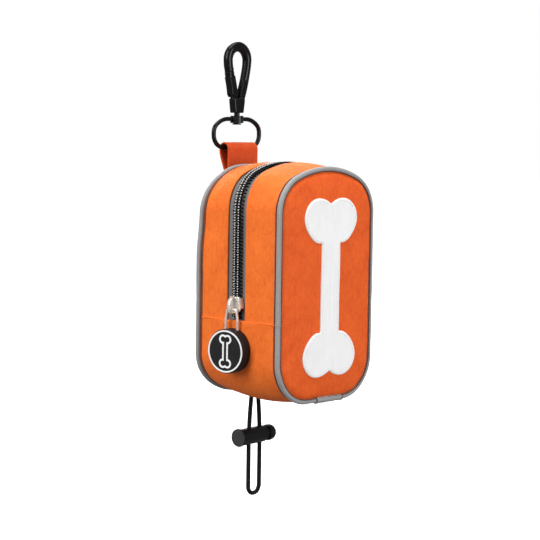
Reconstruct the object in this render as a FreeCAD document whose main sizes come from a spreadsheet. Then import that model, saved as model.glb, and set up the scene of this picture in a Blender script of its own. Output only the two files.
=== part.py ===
import FreeCAD, Part
import math
import os
import Sketcher

# A small zip pouch that hangs from a swivel snap hook. Millimetres.
# +X runs along the front panel, the front panel faces -Y, the zip's slider is on the -X side, +Z is up.
# The origin is the top of the hook's inside, where it hangs.

DIMENSIONS = {
    # pouch
    "pouch_width": 64.0,
    "pouch_depth": 53.2,
    "pouch_height": 109.4,
    "shoulder_radius": 18.0,
    "crown_radius": 53.6,
    "base_radius": 19.6,
    "pouch_drop": 165.4,
    "pouch_set_forward": 34.2,
    "panel_thickness": 3.6,
    "panel_edge_radius": 2.6,
    "piping_radius": 1.25,
    "piping_core_radius": 0.75,
    "fit_play": 0.02,
    "piping_join_radius": 1.5,
    "piping_join_length": 18.0,
    "piping_join_centre": 3.0,
    "gusset_inset": 0.2,
    "gusset_thickness": 1.6,
    "gusset_seam_height": 37.3,
    "binding_thickness": 1.2,
    "binding_width": 5.0,
    # bone on the front panel
    "bone_lobe_offset": 8.4,
    "bone_lobe_radius": 10.3,
    "bone_shaft_half": 6.9,
    "bone_top_lobe_height": 86.0,
    "bone_base_lobe_height": 21.0,
    "bone_notch_radius": 14.0,
    "bone_thickness": 0.9,
    # zip
    "zip_centre": 1.0,
    "zip_opening_half": 6.0,
    "zip_tape_half": 13.0,
    "zip_tape_thickness": 0.5,
    "zip_gap_half": 0.5,
    "zip_chain_half": 3.1,
    "zip_tape_inset": 1.85,
    "slider_height": 45.0,
    "slider_length": 7.8,
    "slider_tail_half": 3.6,
    "slider_nose_half": 4.5,
    "slider_plate": 1.1,
    "slider_clearance": 0.2,
    "slider_post_half": 0.3,
    "slider_flange_half": 3.45,
    "crown_half": 1.1,
    "crown_plate": 0.9,
    # puller
    "pull_pivot_out": 35.4,
    "pull_pivot_offset": 0.3,
    "pull_pivot_height": 42.9,
    "pull_yaw": 8.0,
    "link_wire_radius": 0.65,
    "link_top_half": 2.6,
    "link_leg_half": 3.4,
    "link_length": 12.4,
    "disc_radius": 10.5,
    "disc_thickness": 6.5,
    "disc_drop": 19.3,
    "disc_back": 1.75,
    "disc_edge_radius": 0.6,
    "disc_ring_outer": 10.0,
    "disc_ring_inner": 9.25,
    "inlay_proud": 0.2,
    "disc_bone_lobe_offset": 1.35,
    "disc_bone_lobe_radius": 2.2,
    "disc_bone_shaft_half": 1.65,
    "disc_bone_half_height": 5.7,
    "disc_bone_notch_radius": 2.8,
    "disc_bone_stroke": 0.9,
    # strap
    "strap_width": 20.6,
    "strap_thickness": 1.1,
    "strap_shift": 1.0,
    "strap_fold_radius": 2.4,
    "strap_fold_back": 0.5,
    "strap_fold_height": 47.7,
    "strap_merge_drop": 64.0,
    "strap_end_drop": 78.0,
    # swivel ring
    "ring_wire_radius": 1.1,
    "ring_half_width": 15.75,
    "ring_top": 32.9,
    "ring_bar": 46.75,
    "ring_side_height": 39.6,
    "ring_side_radius": 5.0,
    "ring_shoulder_radius": 12.0,
    "ring_base_radius": 6.0,
    "collar_radius": 3.25,
    "collar_top": 31.3,
    "collar_base": 34.9,
    "post_radius": 1.4,
    "post_play": 0.05,
    "post_head_radius": 2.1,
    "post_head_height": 0.7,
    "post_socket": 3.5,
    # hook
    "hook_depth": 4.3,
    "hook_bight_outer": 8.65,
    "hook_bight_inner": 4.35,
    "hook_top": 5.1,
    "hook_edge_bevel": 0.8,
    "nose_side": 7.75,
    "nose_drop": 10.3,
    "nose_inner_left": 3.8,
    "nose_inner_drop": 7.9,
    "spine_inner": 3.4,
    "crotch_right": 0.7,
    "crotch_drop": 18.8,
    "spine_foot": 0.1,
    "spine_shoulder": 5.8,
    "spine_shoulder_drop": 20.0,
    "block_top_half": 3.6,
    "block_base_half": 2.9,
    "block_base": 29.9,
    "block_top": 23.2,
    "gate_pivot_left": 3.0,
    "gate_pivot_drop": 20.4,
    "gate_barrel_radius": 2.4,
    "gate_gap": 0.2,
    "gate_tongue": 1.7,
    "gate_slot": 1.9,
    "gate_pin_radius": 0.6,
    "gate_pin_play": 0.05,
    "gate_spring_thickness": 0.3,
    "tongue_inset": 0.6,
    "tongue_left": 0.3,
    "tongue_right": 0.6,
    "tongue_root": 0.5,
    "gate_nose_step": 0.15,
    "gate_toe_left": 0.75,
    "gate_toe_drop": 18.6,
    "gate_channel_top": 13.0,
    "gate_channel_left": 5.9,
    "gate_channel_reach": 3.0,
    "gate_bevel_foot": 18.0,
    "pin_short": 0.3,
    "leaf_foot_half": 0.4,
    "leaf_tip_left": 5.4,
    "leaf_tip_drop": 1.0,
    "touch_play": 0.02,
    "slider_waist_share": 0.45,
    "slider_tip_share": 0.55,
    "slider_post_base": 0.5,
    "slider_post_top": 0.2,
    "slider_play": 0.3,
    "slider_inner_share": 0.8,
    "flange_tail": 0.15,
    "flange_trim": 0.45,
    "crown_play": 0.25,
    "crown_root": 0.2,
    "link_bend": 1.0,
    "link_neck": 4.5,
    "barrel_bevel": 0.4,
    "knob_bevel": 0.7,
    "knob_step": 0.15,
    "stem_slot_play": 0.2,
    "stem_slot_left": 0.06,
    "stem_slot_right": 0.1,
    # cord and toggle
    "cord_radius": 1.1,
    "cord_spacing": 8.4,
    "cord_bottom": 52.5,
    "cord_forward": 15.0,
    "toggle_drop": 188.8,
    "toggle_yaw": 5.0,
    "barrel_radius": 4.15,
    "barrel_bore_radius": 3.2,
    "barrel_left": 11.6,
    "barrel_right": 6.2,
    "barrel_cap_radius": 4.5,
    "barrel_cap": 1.0,
    "barrel_blind": 1.5,
    "cord_hole_radius": 1.3,
    "stem_radius": 3.12,
    "stem_left": 7.2,
    "knob_base": 8.6,
    "knob_radius": 4.1,
    "knob_end": 15.0,
    "plunger_travel": 2.2,
    "toggle_spring_wire": 0.25,
    "toggle_spring_radius": 2.5,
    "toggle_spring_turns": 4.0,
    "anchor_length": 14.0,
    "anchor_width": 8.0,
    "anchor_set_forward": 3.6,
    "anchor_thickness": 1.2,
}

doc = FreeCAD.newDocument("treat_pouch")
sheet = doc.addObject("Spreadsheet::Sheet", "dims")
for row, (alias, number) in enumerate(DIMENSIONS.items(), start=1):
    sheet.set(f"A{row}", alias)
    sheet.set(f"B{row}", str(number))
    sheet.setAlias(f"B{row}", alias)
doc.recompute()


def size(name):
    return float(sheet.get(name))


# Every piece is listed here as it is made, in the order its file is written.
PIECES = []

# Heights of the arch's arcs, as sheet formulas and as numbers.
SHOULDER_RISE = (
    "sqrt((dims.crown_radius - dims.shoulder_radius)^2"
    " - (dims.pouch_width / 2 - dims.shoulder_radius)^2)"
)
SHOULDER_Z = f"dims.pouch_height - dims.crown_radius + {SHOULDER_RISE}"
SHOULDER_X = "dims.pouch_width / 2 - dims.shoulder_radius"
BASE_X = "dims.pouch_width / 2 - dims.base_radius"

HALF_WIDTH = size("pouch_width") / 2
shoulder_x = HALF_WIDTH - size("shoulder_radius")
shoulder_rise = math.sqrt((size("crown_radius") - size("shoulder_radius")) ** 2 - shoulder_x**2)
crown_z = size("pouch_height") - size("crown_radius")
shoulder_z = crown_z + shoulder_rise
shoulder_angle = math.atan2(shoulder_rise, shoulder_x)
base_x = HALF_WIDTH - size("base_radius")
base_z = size("base_radius")


# ---------------------------------------------------------------- helpers
def vector(x, y, z=0.0):
    return FreeCAD.Vector(x, y, z)


def bound(obj, **expressions):
    """Binds properties to the sheet. A double underscore stands for a dot."""
    for path, expression in expressions.items():
        obj.setExpression(path.replace("__", "."), expression)


def new_body(label, **placement):
    body = doc.addObject("PartDesign::Body", label)
    body.Label = label
    bound(body, **placement)
    PIECES.append(body)
    return body


def in_pouch(**more):
    """Placement of a piece drawn from the pouch's own centre and base."""
    return dict(
        Placement__Base__y="-dims.pouch_set_forward",
        Placement__Base__z="-dims.pouch_drop",
        **more,
    )


def sketch_on(body, role, name, **offset):
    sketch = body.newObject("Sketcher::SketchObject", f"{body.Label}_{name}")
    plane = [f for f in body.Origin.OriginFeatures if f.Role == role][0]
    sketch.AttachmentSupport = [(plane, "")]
    sketch.MapMode = "FlatFace"
    bound(sketch, **offset)
    return sketch


def arc(cx, cy, radius, start, end):
    circle = Part.Circle(vector(cx, cy), vector(0, 0, 1), radius)
    return Part.ArcOfCircle(circle, start, end)


def line(x1, y1, x2, y2):
    return Part.LineSegment(vector(x1, y1), vector(x2, y2))


def fix(sketch, kind, where, value, expression):
    """Adds one measured constraint and binds it to the sheet."""
    index = sketch.addConstraint(Sketcher.Constraint(kind, *where, value))
    sketch.setExpression(f"Constraints[{index}]", expression)


def radius_of(sketch, edge, expression):
    fix(sketch, "Radius", (edge,), sketch.Geometry[edge].Radius, expression)


def centre_of(sketch, edge, x_expression, y_expression):
    centre = sketch.Geometry[edge].Center
    fix(sketch, "DistanceX", (-1, 1, edge, 3), centre.x, x_expression)
    fix(sketch, "DistanceY", (-1, 1, edge, 3), centre.y, y_expression)


def height_of(sketch, edge, point, expression):
    at = sketch.getPoint(edge, point)
    fix(sketch, "DistanceY", (-1, 1, edge, point), at.y, expression)


def join(sketch, kind, pairs):
    for first, first_end, second, second_end in pairs:
        sketch.addConstraint(Sketcher.Constraint(kind, first, first_end, second, second_end))


def pad(body, sketch, length, side="One side", reverse=False):
    feature = body.newObject("PartDesign::Pad", f"{sketch.Name}_pad")
    feature.Profile = sketch
    feature.SideType = side
    feature.Reversed = reverse
    feature.setExpression("Length", length)
    body.Tip = feature
    return feature


def pocket(body, sketch, length, side="Symmetric"):
    doc.recompute()
    before = body.Tip.Shape.Volume
    feature = body.newObject("PartDesign::Pocket", f"{sketch.Name}_pocket")
    feature.Profile = sketch
    feature.SideType = side
    feature.setExpression("Length", length)
    body.Tip = feature
    doc.recompute()
    if not feature.Shape.Volume < before:
        raise SystemExit(f"{feature.Name} cuts nothing")
    return feature


def dress_edges(body, kind, amount, wanted):
    """Rounds or bevels the edges of the body's last feature that wanted() picks."""
    doc.recompute()
    base = body.Tip
    names = [f"Edge{i}" for i, edge in enumerate(base.Shape.Edges, start=1) if wanted(edge)]
    feature = body.newObject(f"PartDesign::{kind}", f"{body.Label}_edges")
    feature.Base = (base, names)
    feature.setExpression("Radius" if kind == "Fillet" else "Size", amount)
    body.Tip = feature
    return feature


def pipe(body, path, section, kind="AdditivePipe"):
    feature = body.newObject(f"PartDesign::{kind}", f"{path.Name}_pipe")
    feature.Profile = section
    feature.Spine = (path, [])
    body.Tip = feature
    return feature


def circle_sketch(body, role, name, x, y, radius_expression, radius, **offset):
    sketch = sketch_on(body, role, name, **offset)
    sketch.addGeometry(Part.Circle(vector(x, y), vector(0, 0, 1), radius))
    radius_of(sketch, 0, radius_expression)
    return sketch


def polygon(sketch, corners):
    """A closed polygon through corners given as (x, y) numbers."""
    count = len(corners)
    first = sketch.GeometryCount
    for i, (x, y) in enumerate(corners):
        x2, y2 = corners[(i + 1) % count]
        sketch.addGeometry(line(x, y, x2, y2))
    join(sketch, "Coincident", [(first + i, 2, first + (i + 1) % count, 1) for i in range(count)])


# ------------------------------------------------------- outlines of the pouch
def closed_outline(sketch, inset, inset_expression):
    """The whole panel outline, moved inwards by inset from the piping's centre line."""
    half = HALF_WIDTH - inset
    angle = shoulder_angle
    shoulder = size("shoulder_radius") - inset
    crown = size("crown_radius") - inset
    base = size("base_radius") - inset
    edges = [
        line(half, base_z, half, shoulder_z),
        arc(shoulder_x, shoulder_z, shoulder, 0, angle),
        arc(0, crown_z, crown, angle, math.pi - angle),
        arc(-shoulder_x, shoulder_z, shoulder, math.pi - angle, math.pi),
        line(-half, shoulder_z, -half, base_z),
        arc(-base_x, base_z, base, math.pi, 1.5 * math.pi),
        line(-base_x, inset, base_x, inset),
        arc(base_x, base_z, base, 1.5 * math.pi, 2 * math.pi),
    ]
    sketch.addGeometry(edges)
    join(sketch, "Tangent", [(i, 2, (i + 1) % 8, 1) for i in range(8)])
    for edge, sign in ((1, ""), (3, "-")):
        radius_of(sketch, edge, f"dims.shoulder_radius - {inset_expression}")
        centre_of(sketch, edge, f"{sign}({SHOULDER_X})", SHOULDER_Z)
    radius_of(sketch, 2, f"dims.crown_radius - {inset_expression}")
    for edge, sign in ((5, "-"), (7, "")):
        radius_of(sketch, edge, f"dims.base_radius - {inset_expression}")
        centre_of(sketch, edge, f"{sign}({BASE_X})", "dims.base_radius")


def arch_strip(sketch, outer, inner, outer_expression, inner_expression):
    """A strip over the arch from the gusset seam on one side to the seam on the other."""
    seam = size("gusset_seam_height")
    angle = shoulder_angle
    for inset in (outer, inner):
        half = HALF_WIDTH - inset
        sketch.addGeometry(
            [
                line(half, seam, half, shoulder_z),
                arc(shoulder_x, shoulder_z, size("shoulder_radius") - inset, 0, angle),
                arc(0, crown_z, size("crown_radius") - inset, angle, math.pi - angle),
                arc(-shoulder_x, shoulder_z, size("shoulder_radius") - inset, math.pi - angle, math.pi),
                line(-half, shoulder_z, -half, seam),
            ]
        )
    sketch.addGeometry(line(HALF_WIDTH - outer, seam, HALF_WIDTH - inner, seam))
    sketch.addGeometry(line(-HALF_WIDTH + outer, seam, -HALF_WIDTH + inner, seam))
    for first, expression in ((0, outer_expression), (5, inner_expression)):
        join(sketch, "Tangent", [(first + i, 2, first + i + 1, 1) for i in range(4)])
        for edge, sign in ((first + 1, ""), (first + 3, "-")):
            radius_of(sketch, edge, f"dims.shoulder_radius - {expression}")
            centre_of(sketch, edge, f"{sign}({SHOULDER_X})", SHOULDER_Z)
        radius_of(sketch, first + 2, f"dims.crown_radius - {expression}")
        sketch.addConstraint(Sketcher.Constraint("Vertical", first))
        sketch.addConstraint(Sketcher.Constraint("Vertical", first + 4))
    join(sketch, "Coincident", [(10, 1, 0, 1), (10, 2, 5, 1), (11, 1, 4, 2), (11, 2, 9, 2)])
    for end in (10, 11):
        sketch.addConstraint(Sketcher.Constraint("Horizontal", end))
        height_of(sketch, end, 1, "dims.gusset_seam_height")


def base_strip(sketch, outer, inner, outer_expression, inner_expression):
    """A strip round the base, from the gusset seam down and up again."""
    seam = size("gusset_seam_height")
    for inset in (outer, inner):
        half = HALF_WIDTH - inset
        base = size("base_radius") - inset
        sketch.addGeometry(
            [
                line(-half, seam, -half, base_z),
                arc(-base_x, base_z, base, math.pi, 1.5 * math.pi),
                line(-base_x, inset, base_x, inset),
                arc(base_x, base_z, base, 1.5 * math.pi, 2 * math.pi),
                line(half, base_z, half, seam),
            ]
        )
    sketch.addGeometry(line(-HALF_WIDTH + outer, seam, -HALF_WIDTH + inner, seam))
    sketch.addGeometry(line(HALF_WIDTH - outer, seam, HALF_WIDTH - inner, seam))
    for first, expression in ((0, outer_expression), (5, inner_expression)):
        join(sketch, "Tangent", [(first + i, 2, first + i + 1, 1) for i in range(4)])
        for edge, sign in ((first + 1, "-"), (first + 3, "")):
            radius_of(sketch, edge, f"dims.base_radius - {expression}")
            centre_of(sketch, edge, f"{sign}({BASE_X})", "dims.base_radius")
        sketch.addConstraint(Sketcher.Constraint("Vertical", first))
        sketch.addConstraint(Sketcher.Constraint("Vertical", first + 4))
    join(sketch, "Coincident", [(10, 1, 0, 1), (10, 2, 5, 1), (11, 1, 4, 2), (11, 2, 9, 2)])
    for end in (10, 11):
        sketch.addConstraint(Sketcher.Constraint("Horizontal", end))
        height_of(sketch, end, 1, "dims.gusset_seam_height")


# ---------------------------------------------------------------- pouch shell
def panel(label, facing):
    """A padded panel. facing is -1 for the front, +1 for the back."""
    body = new_body(label, **in_pouch())
    inset = size("piping_radius") + 0.05
    sketch = sketch_on(
        body, "XZ_Plane", "outline", AttachmentOffset__Base__z=f"{-facing} * dims.pouch_depth / 2"
    )
    closed_outline(sketch, inset, "(dims.piping_radius + 0.05)")
    pad(body, sketch, "dims.panel_thickness", reverse=facing > 0)
    outside = facing * (size("pouch_depth") / 2 + size("panel_thickness"))
    dress_edges(
        body,
        "Fillet",
        "dims.panel_edge_radius",
        lambda e: abs(e.BoundBox.Center.y - outside) < 1e-3,
    )
    return body


def piping(facing, side):
    """The piping's tubular cover and the filler cord inside it."""
    plane = f"{-facing} * dims.pouch_depth / 2"
    centre = (HALF_WIDTH, facing * size("pouch_depth") / 2)

    def tube(body, name, expression, radius, kind="AdditivePipe"):
        path = sketch_on(body, "XZ_Plane", f"{name}_path", AttachmentOffset__Base__z=plane)
        closed_outline(path, 0.0, "0")
        section = circle_sketch(
            body, "XY_Plane", f"{name}_section", *centre, expression, radius,
            AttachmentOffset__Base__z="dims.base_radius",
        )
        centre_of(section, 0, "dims.pouch_width / 2", f"{facing} * dims.pouch_depth / 2")
        pipe(body, path, section, kind)

    core = new_body(f"{side}_piping_core", **in_pouch())
    core_radius = size("piping_core_radius")
    tube(core, "cord", "dims.piping_core_radius", core_radius)
    cover = new_body(f"{side}_piping", **in_pouch())
    tube(cover, "outside", "dims.piping_radius", size("piping_radius"))
    bore = "dims.piping_core_radius + dims.fit_play"
    tube(cover, "inside", bore, core_radius + size("fit_play"), "SubtractivePipe")


def piping_join():
    """The wrapped overlap where the front piping's two ends meet on the base."""
    body = new_body("front_piping_join", **in_pouch())
    section = sketch_on(
        body,
        "YZ_Plane",
        "section",
        AttachmentOffset__Base__z="dims.piping_join_centre - dims.piping_join_length / 2",
    )
    for index, (expression, radius) in enumerate(
        (
            ("dims.piping_join_radius", size("piping_join_radius")),
            ("dims.piping_radius + 0.02", size("piping_radius") + 0.02),
        )
    ):
        circle = Part.Circle(vector(-size("pouch_depth") / 2, 0), vector(0, 0, 1), radius)
        section.addGeometry(circle)
        radius_of(section, index, expression)
        centre_of(section, index, "-dims.pouch_depth / 2", "0")
    pad(body, section, "dims.piping_join_length")


def strip(label, make, outer, thickness, low, high):
    """A strip of the gusset or zip between two depths, all given as sheet expressions."""
    body = new_body(label, **in_pouch())
    sketch = sketch_on(body, "XZ_Plane", "outline", AttachmentOffset__Base__z=f"-({high})")
    outer_number = sheet_value(outer)
    thickness_number = sheet_value(thickness)
    make(
        sketch,
        outer_number,
        outer_number + thickness_number,
        f"({outer})",
        f"({outer} + {thickness})",
    )
    pad(body, sketch, f"({high}) - ({low})")
    return body


def sheet_value(expression):
    """The number that a sheet expression stands for."""
    probe = doc.addObject("App::FeaturePython", "probe")
    probe.addProperty("App::PropertyFloat", "Value")
    probe.setExpression("Value", expression)
    doc.recompute()
    number = probe.Value
    doc.removeObject(probe.Name)
    return number


panel("front_panel", -1)
panel("back_panel", 1)
piping(-1, "front")
piping(1, "back")
piping_join()

EDGE = "(dims.pouch_depth / 2 - dims.piping_radius)"
ZIP_BACK_EDGE = "(dims.zip_centre + dims.zip_opening_half)"
ZIP_FRONT_EDGE = "(dims.zip_centre - dims.zip_opening_half)"
GUSSET = ("dims.gusset_inset", "dims.gusset_thickness")
TAPE = ("dims.zip_tape_inset", "dims.zip_tape_thickness")
COIL = ("0", "dims.zip_tape_inset")
strip("zip_gusset_front", arch_strip, *GUSSET, f"-{EDGE}", ZIP_FRONT_EDGE)
strip("zip_gusset_back", arch_strip, *GUSSET, ZIP_BACK_EDGE, EDGE)
strip("base_gusset", base_strip, *GUSSET, f"-{EDGE}", EDGE)
CENTRE = "dims.zip_centre"
GAP = "dims.zip_gap_half"
ZIP_LAYERS = {"tape": (TAPE, "dims.zip_tape_half"), "coil": (COIL, "dims.zip_chain_half")}
for kind, (layer, half) in ZIP_LAYERS.items():
    strip(f"zip_{kind}_front", arch_strip, *layer, f"{CENTRE} - {half}", f"{CENTRE} - {GAP}")
    strip(f"zip_{kind}_back", arch_strip, *layer, f"{CENTRE} + {GAP}", f"{CENTRE} + {half}")


# ---------------------------------------------------------------- seam bindings
def seam_binding(label, facing):
    """The tape that binds the seam allowances inside, round one panel."""
    body = new_body(label, **in_pouch())
    near = "dims.pouch_depth / 2 - dims.piping_radius"
    plane = near if facing < 0 else f"dims.binding_width - ({near})"
    sketch = sketch_on(body, "XZ_Plane", "outline", AttachmentOffset__Base__z=plane)
    outer = size("zip_tape_inset")
    closed_outline(sketch, outer, "dims.zip_tape_inset")
    inner = sketch_on(body, "XZ_Plane", "inside", AttachmentOffset__Base__z=plane)
    inside = outer + size("binding_thickness")
    closed_outline(inner, inside, "(dims.zip_tape_inset + dims.binding_thickness)")
    pad(body, sketch, "dims.binding_width", reverse=True)
    pocket(body, inner, "dims.binding_width", side="One side")
    return body


# ---------------------------------------------------------------- bone outlines
def bone_outline(sketch, lobe_x, radius, shaft, top_z, base_z, notch, inset=0.0, offset=(0.0, 0.0)):
    """A bone: two round lobes at each end, a shallow notch between them, a straight shaft.

    The lobes' circles are centred at (+-lobe_x, top_z) and (+-lobe_x, base_z). The notch between two
    lobes is two gentle arcs that run on from the lobes' tops. inset draws the same bone inside itself.
    """
    dx, dz = offset
    lobe = radius - inset
    gentle = notch - inset
    half = shaft - inset
    meet = math.sqrt(lobe**2 - (lobe_x - half) ** 2)
    corner = math.atan2(-meet, half - lobe_x)
    notch_angle = math.acos(lobe_x / gentle)
    edges = []
    for end, centre_z in ((1, top_z), (-1, base_z)):
        gentle_z = centre_z + end * (radius - notch)
        right = [
            arc(dx + lobe_x, dz + centre_z, lobe, *ordered(end, corner, math.pi / 2)),
            arc(dx + lobe_x, dz + gentle_z, gentle, *ordered(end, math.pi / 2, math.pi - notch_angle)),
        ]
        left = [
            arc(dx - lobe_x, dz + gentle_z, gentle, *ordered(end, notch_angle, math.pi / 2)),
            arc(dx - lobe_x, dz + centre_z, lobe, *ordered(end, math.pi / 2, math.pi - corner)),
        ]
        edges += right + left
    low, high = dz + base_z + meet, dz + top_z - meet
    edges += [line(dx + half, low, dx + half, high), line(dx - half, low, dx - half, high)]
    sketch.addGeometry(edges)
    first = sketch.GeometryCount - 10
    top = [(first + i, 2, first + i + 1, 1) for i in range(3)]
    base = [(first + 4 + i, 1, first + 5 + i, 2) for i in range(3)]
    shaft_ends = [
        (first + 8, 2, first, 1),
        (first + 9, 2, first + 3, 2),
        (first + 8, 1, first + 4, 2),
        (first + 9, 1, first + 7, 1),
    ]
    join(sketch, "Coincident", top + base + shaft_ends)
    return first


def ordered(end, start, stop):
    """Start and stop of an arc at the bone's top end, mirrored for its base end."""
    return (start, stop) if end > 0 else (-stop, -start)


def bone_applique():
    """The bone sewn flat on the front panel."""
    body = new_body("bone_applique", **in_pouch())
    face = "dims.pouch_depth / 2 + dims.panel_thickness"
    sketch = sketch_on(body, "XZ_Plane", "outline", AttachmentOffset__Base__z=face)
    first = bone_outline(
        sketch,
        size("bone_lobe_offset"),
        size("bone_lobe_radius"),
        size("bone_shaft_half"),
        size("bone_top_lobe_height"),
        size("bone_base_lobe_height"),
        size("bone_notch_radius"),
    )
    for edge, sign, level in ((0, "", "top"), (3, "-", "top"), (4, "", "base"), (7, "-", "base")):
        radius_of(sketch, first + edge, "dims.bone_lobe_radius")
        centre_of(sketch, first + edge, f"{sign}dims.bone_lobe_offset", f"dims.bone_{level}_lobe_height")
    pad(body, sketch, "dims.bone_thickness")


# ---------------------------------------------------------------- hanging strap
def hang_strap():
    """One length of tape folded over the ring's lower bar, its two ends sewn down the back panel."""
    body = new_body(
        "hang_strap",
        Placement__Base__x="dims.strap_shift",
    )
    inner = size("strap_fold_radius")
    thick = size("strap_thickness")
    outer = inner + thick
    y = -size("strap_fold_back")
    top = -size("strap_fold_height")
    merge = -size("strap_merge_drop")
    end = -size("strap_end_drop")
    front = y - outer
    sketch = sketch_on(body, "YZ_Plane", "side")
    split = 0.05
    sketch.addGeometry(
        [
            arc(y, top, outer, 0, math.pi),
            line(front, top, front, end),
            line(front, end, front + 2 * thick + split, end),
            line(front + 2 * thick + split, end, front + 2 * thick + split, merge),
            line(front + 2 * thick + split, merge, y + outer, top),
            arc(y, top, inner, 0, math.pi),
            line(front + thick, top, front + thick, merge),
            line(front + thick, merge, y + inner, top),
        ]
    )
    join(sketch, "Coincident", [(0, 2, 1, 1), (1, 2, 2, 1), (2, 2, 3, 1), (3, 2, 4, 1), (4, 2, 0, 1)])
    join(sketch, "Coincident", [(5, 2, 6, 1), (6, 2, 7, 1), (7, 2, 5, 1)])
    radius_of(sketch, 0, "dims.strap_fold_radius + dims.strap_thickness")
    radius_of(sketch, 5, "dims.strap_fold_radius")
    for fold in (0, 5):
        centre_of(sketch, fold, "-dims.strap_fold_back", "-dims.strap_fold_height")
    height_of(sketch, 2, 1, "-dims.strap_end_drop")
    height_of(sketch, 6, 2, "-dims.strap_merge_drop")
    pad(body, sketch, "dims.strap_width", side="Symmetric")


# ---------------------------------------------------------------- swivel ring
def swivel_ring():
    """The hook's oval eye and the collar that turns on the swivel post, one casting."""
    body = new_body("swivel_ring")
    half = size("ring_half_width")
    top = -size("ring_top")
    bar = -size("ring_bar")
    side_z = -size("ring_side_height")
    side_r = size("ring_side_radius")
    shoulder_r = size("ring_shoulder_radius")
    base_r = size("ring_base_radius")
    side_x = half - side_r
    drop = top - shoulder_r - side_z
    top_x = side_x - math.sqrt((shoulder_r - side_r) ** 2 - drop**2)
    angle = math.atan2(-drop, side_x - top_x)
    flat_x = half - base_r
    path = sketch_on(body, "XZ_Plane", "path")
    edges = [
        line(half, bar + base_r, half, side_z),
        arc(side_x, side_z, side_r, 0, angle),
        arc(top_x, top - shoulder_r, shoulder_r, angle, math.pi / 2),
        line(top_x, top, -top_x, top),
        arc(-top_x, top - shoulder_r, shoulder_r, math.pi / 2, math.pi - angle),
        arc(-side_x, side_z, side_r, math.pi - angle, math.pi),
        line(-half, side_z, -half, bar + base_r),
        arc(-flat_x, bar + base_r, base_r, math.pi, 1.5 * math.pi),
        line(-flat_x, bar, flat_x, bar),
        arc(flat_x, bar + base_r, base_r, 1.5 * math.pi, 2 * math.pi),
    ]
    path.addGeometry(edges)
    join(path, "Tangent", [(i, 2, (i + 1) % len(edges), 1) for i in range(len(edges))])
    for edge, sign in ((1, ""), (5, "-")):
        radius_of(path, edge, "dims.ring_side_radius")
        across = f"{sign}(dims.ring_half_width - dims.ring_side_radius)"
        centre_of(path, edge, across, "-dims.ring_side_height")
    for edge in (2, 4):
        radius_of(path, edge, "dims.ring_shoulder_radius")
    for edge, sign in ((7, "-"), (9, "")):
        radius_of(path, edge, "dims.ring_base_radius")
        centre_of(
            path,
            edge,
            f"{sign}(dims.ring_half_width - dims.ring_base_radius)",
            "dims.ring_base_radius - dims.ring_bar",
        )
    height_of(path, 3, 1, "-dims.ring_top")
    section = sketch_on(body, "XY_Plane", "wire", AttachmentOffset__Base__z="-dims.ring_side_height")
    section.addGeometry(Part.Circle(vector(half, 0), vector(0, 0, 1), size("ring_wire_radius")))
    radius_of(section, 0, "dims.ring_wire_radius")
    pipe(body, path, section)
    collar = circle_sketch(
        body, "XY_Plane", "collar", 0, 0, "dims.collar_radius", size("collar_radius"),
        AttachmentOffset__Base__z="-dims.collar_base",
    )
    pad(body, collar, "dims.collar_base - dims.collar_top")
    bore = circle_sketch(
        body, "XY_Plane", "bore", 0, 0, "dims.post_radius + dims.post_play",
        size("post_radius") + size("post_play"),
        AttachmentOffset__Base__z="-dims.collar_base",
    )
    pocket(body, bore, "2 * (dims.collar_base - dims.collar_top) + 2")


def swivel_post():
    """The post pressed into the hook's block, with the head that carries the ring."""
    body = new_body("swivel_post")
    shank = circle_sketch(
        body, "XY_Plane", "shank", 0, 0, "dims.post_radius", size("post_radius"),
        AttachmentOffset__Base__z="-dims.collar_base - 0.1",
    )
    pad(body, shank, "dims.collar_base + 0.1 - dims.block_base + dims.post_socket")
    head = circle_sketch(
        body, "XY_Plane", "head", 0, 0, "dims.post_head_radius", size("post_head_radius"),
        AttachmentOffset__Base__z="-dims.collar_base - 0.1 - dims.post_head_height",
    )
    pad(body, head, "dims.post_head_height")


# ---------------------------------------------------------------- snap hook
PIVOT_X = -size("gate_pivot_left")
PIVOT_Z = -size("gate_pivot_drop")
NOSE_Z = -size("nose_drop")
NOSE_INNER = (-size("nose_inner_left"), -size("nose_inner_drop"))
GATE_CHANNEL_TOP = -size("gate_channel_top")


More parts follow.
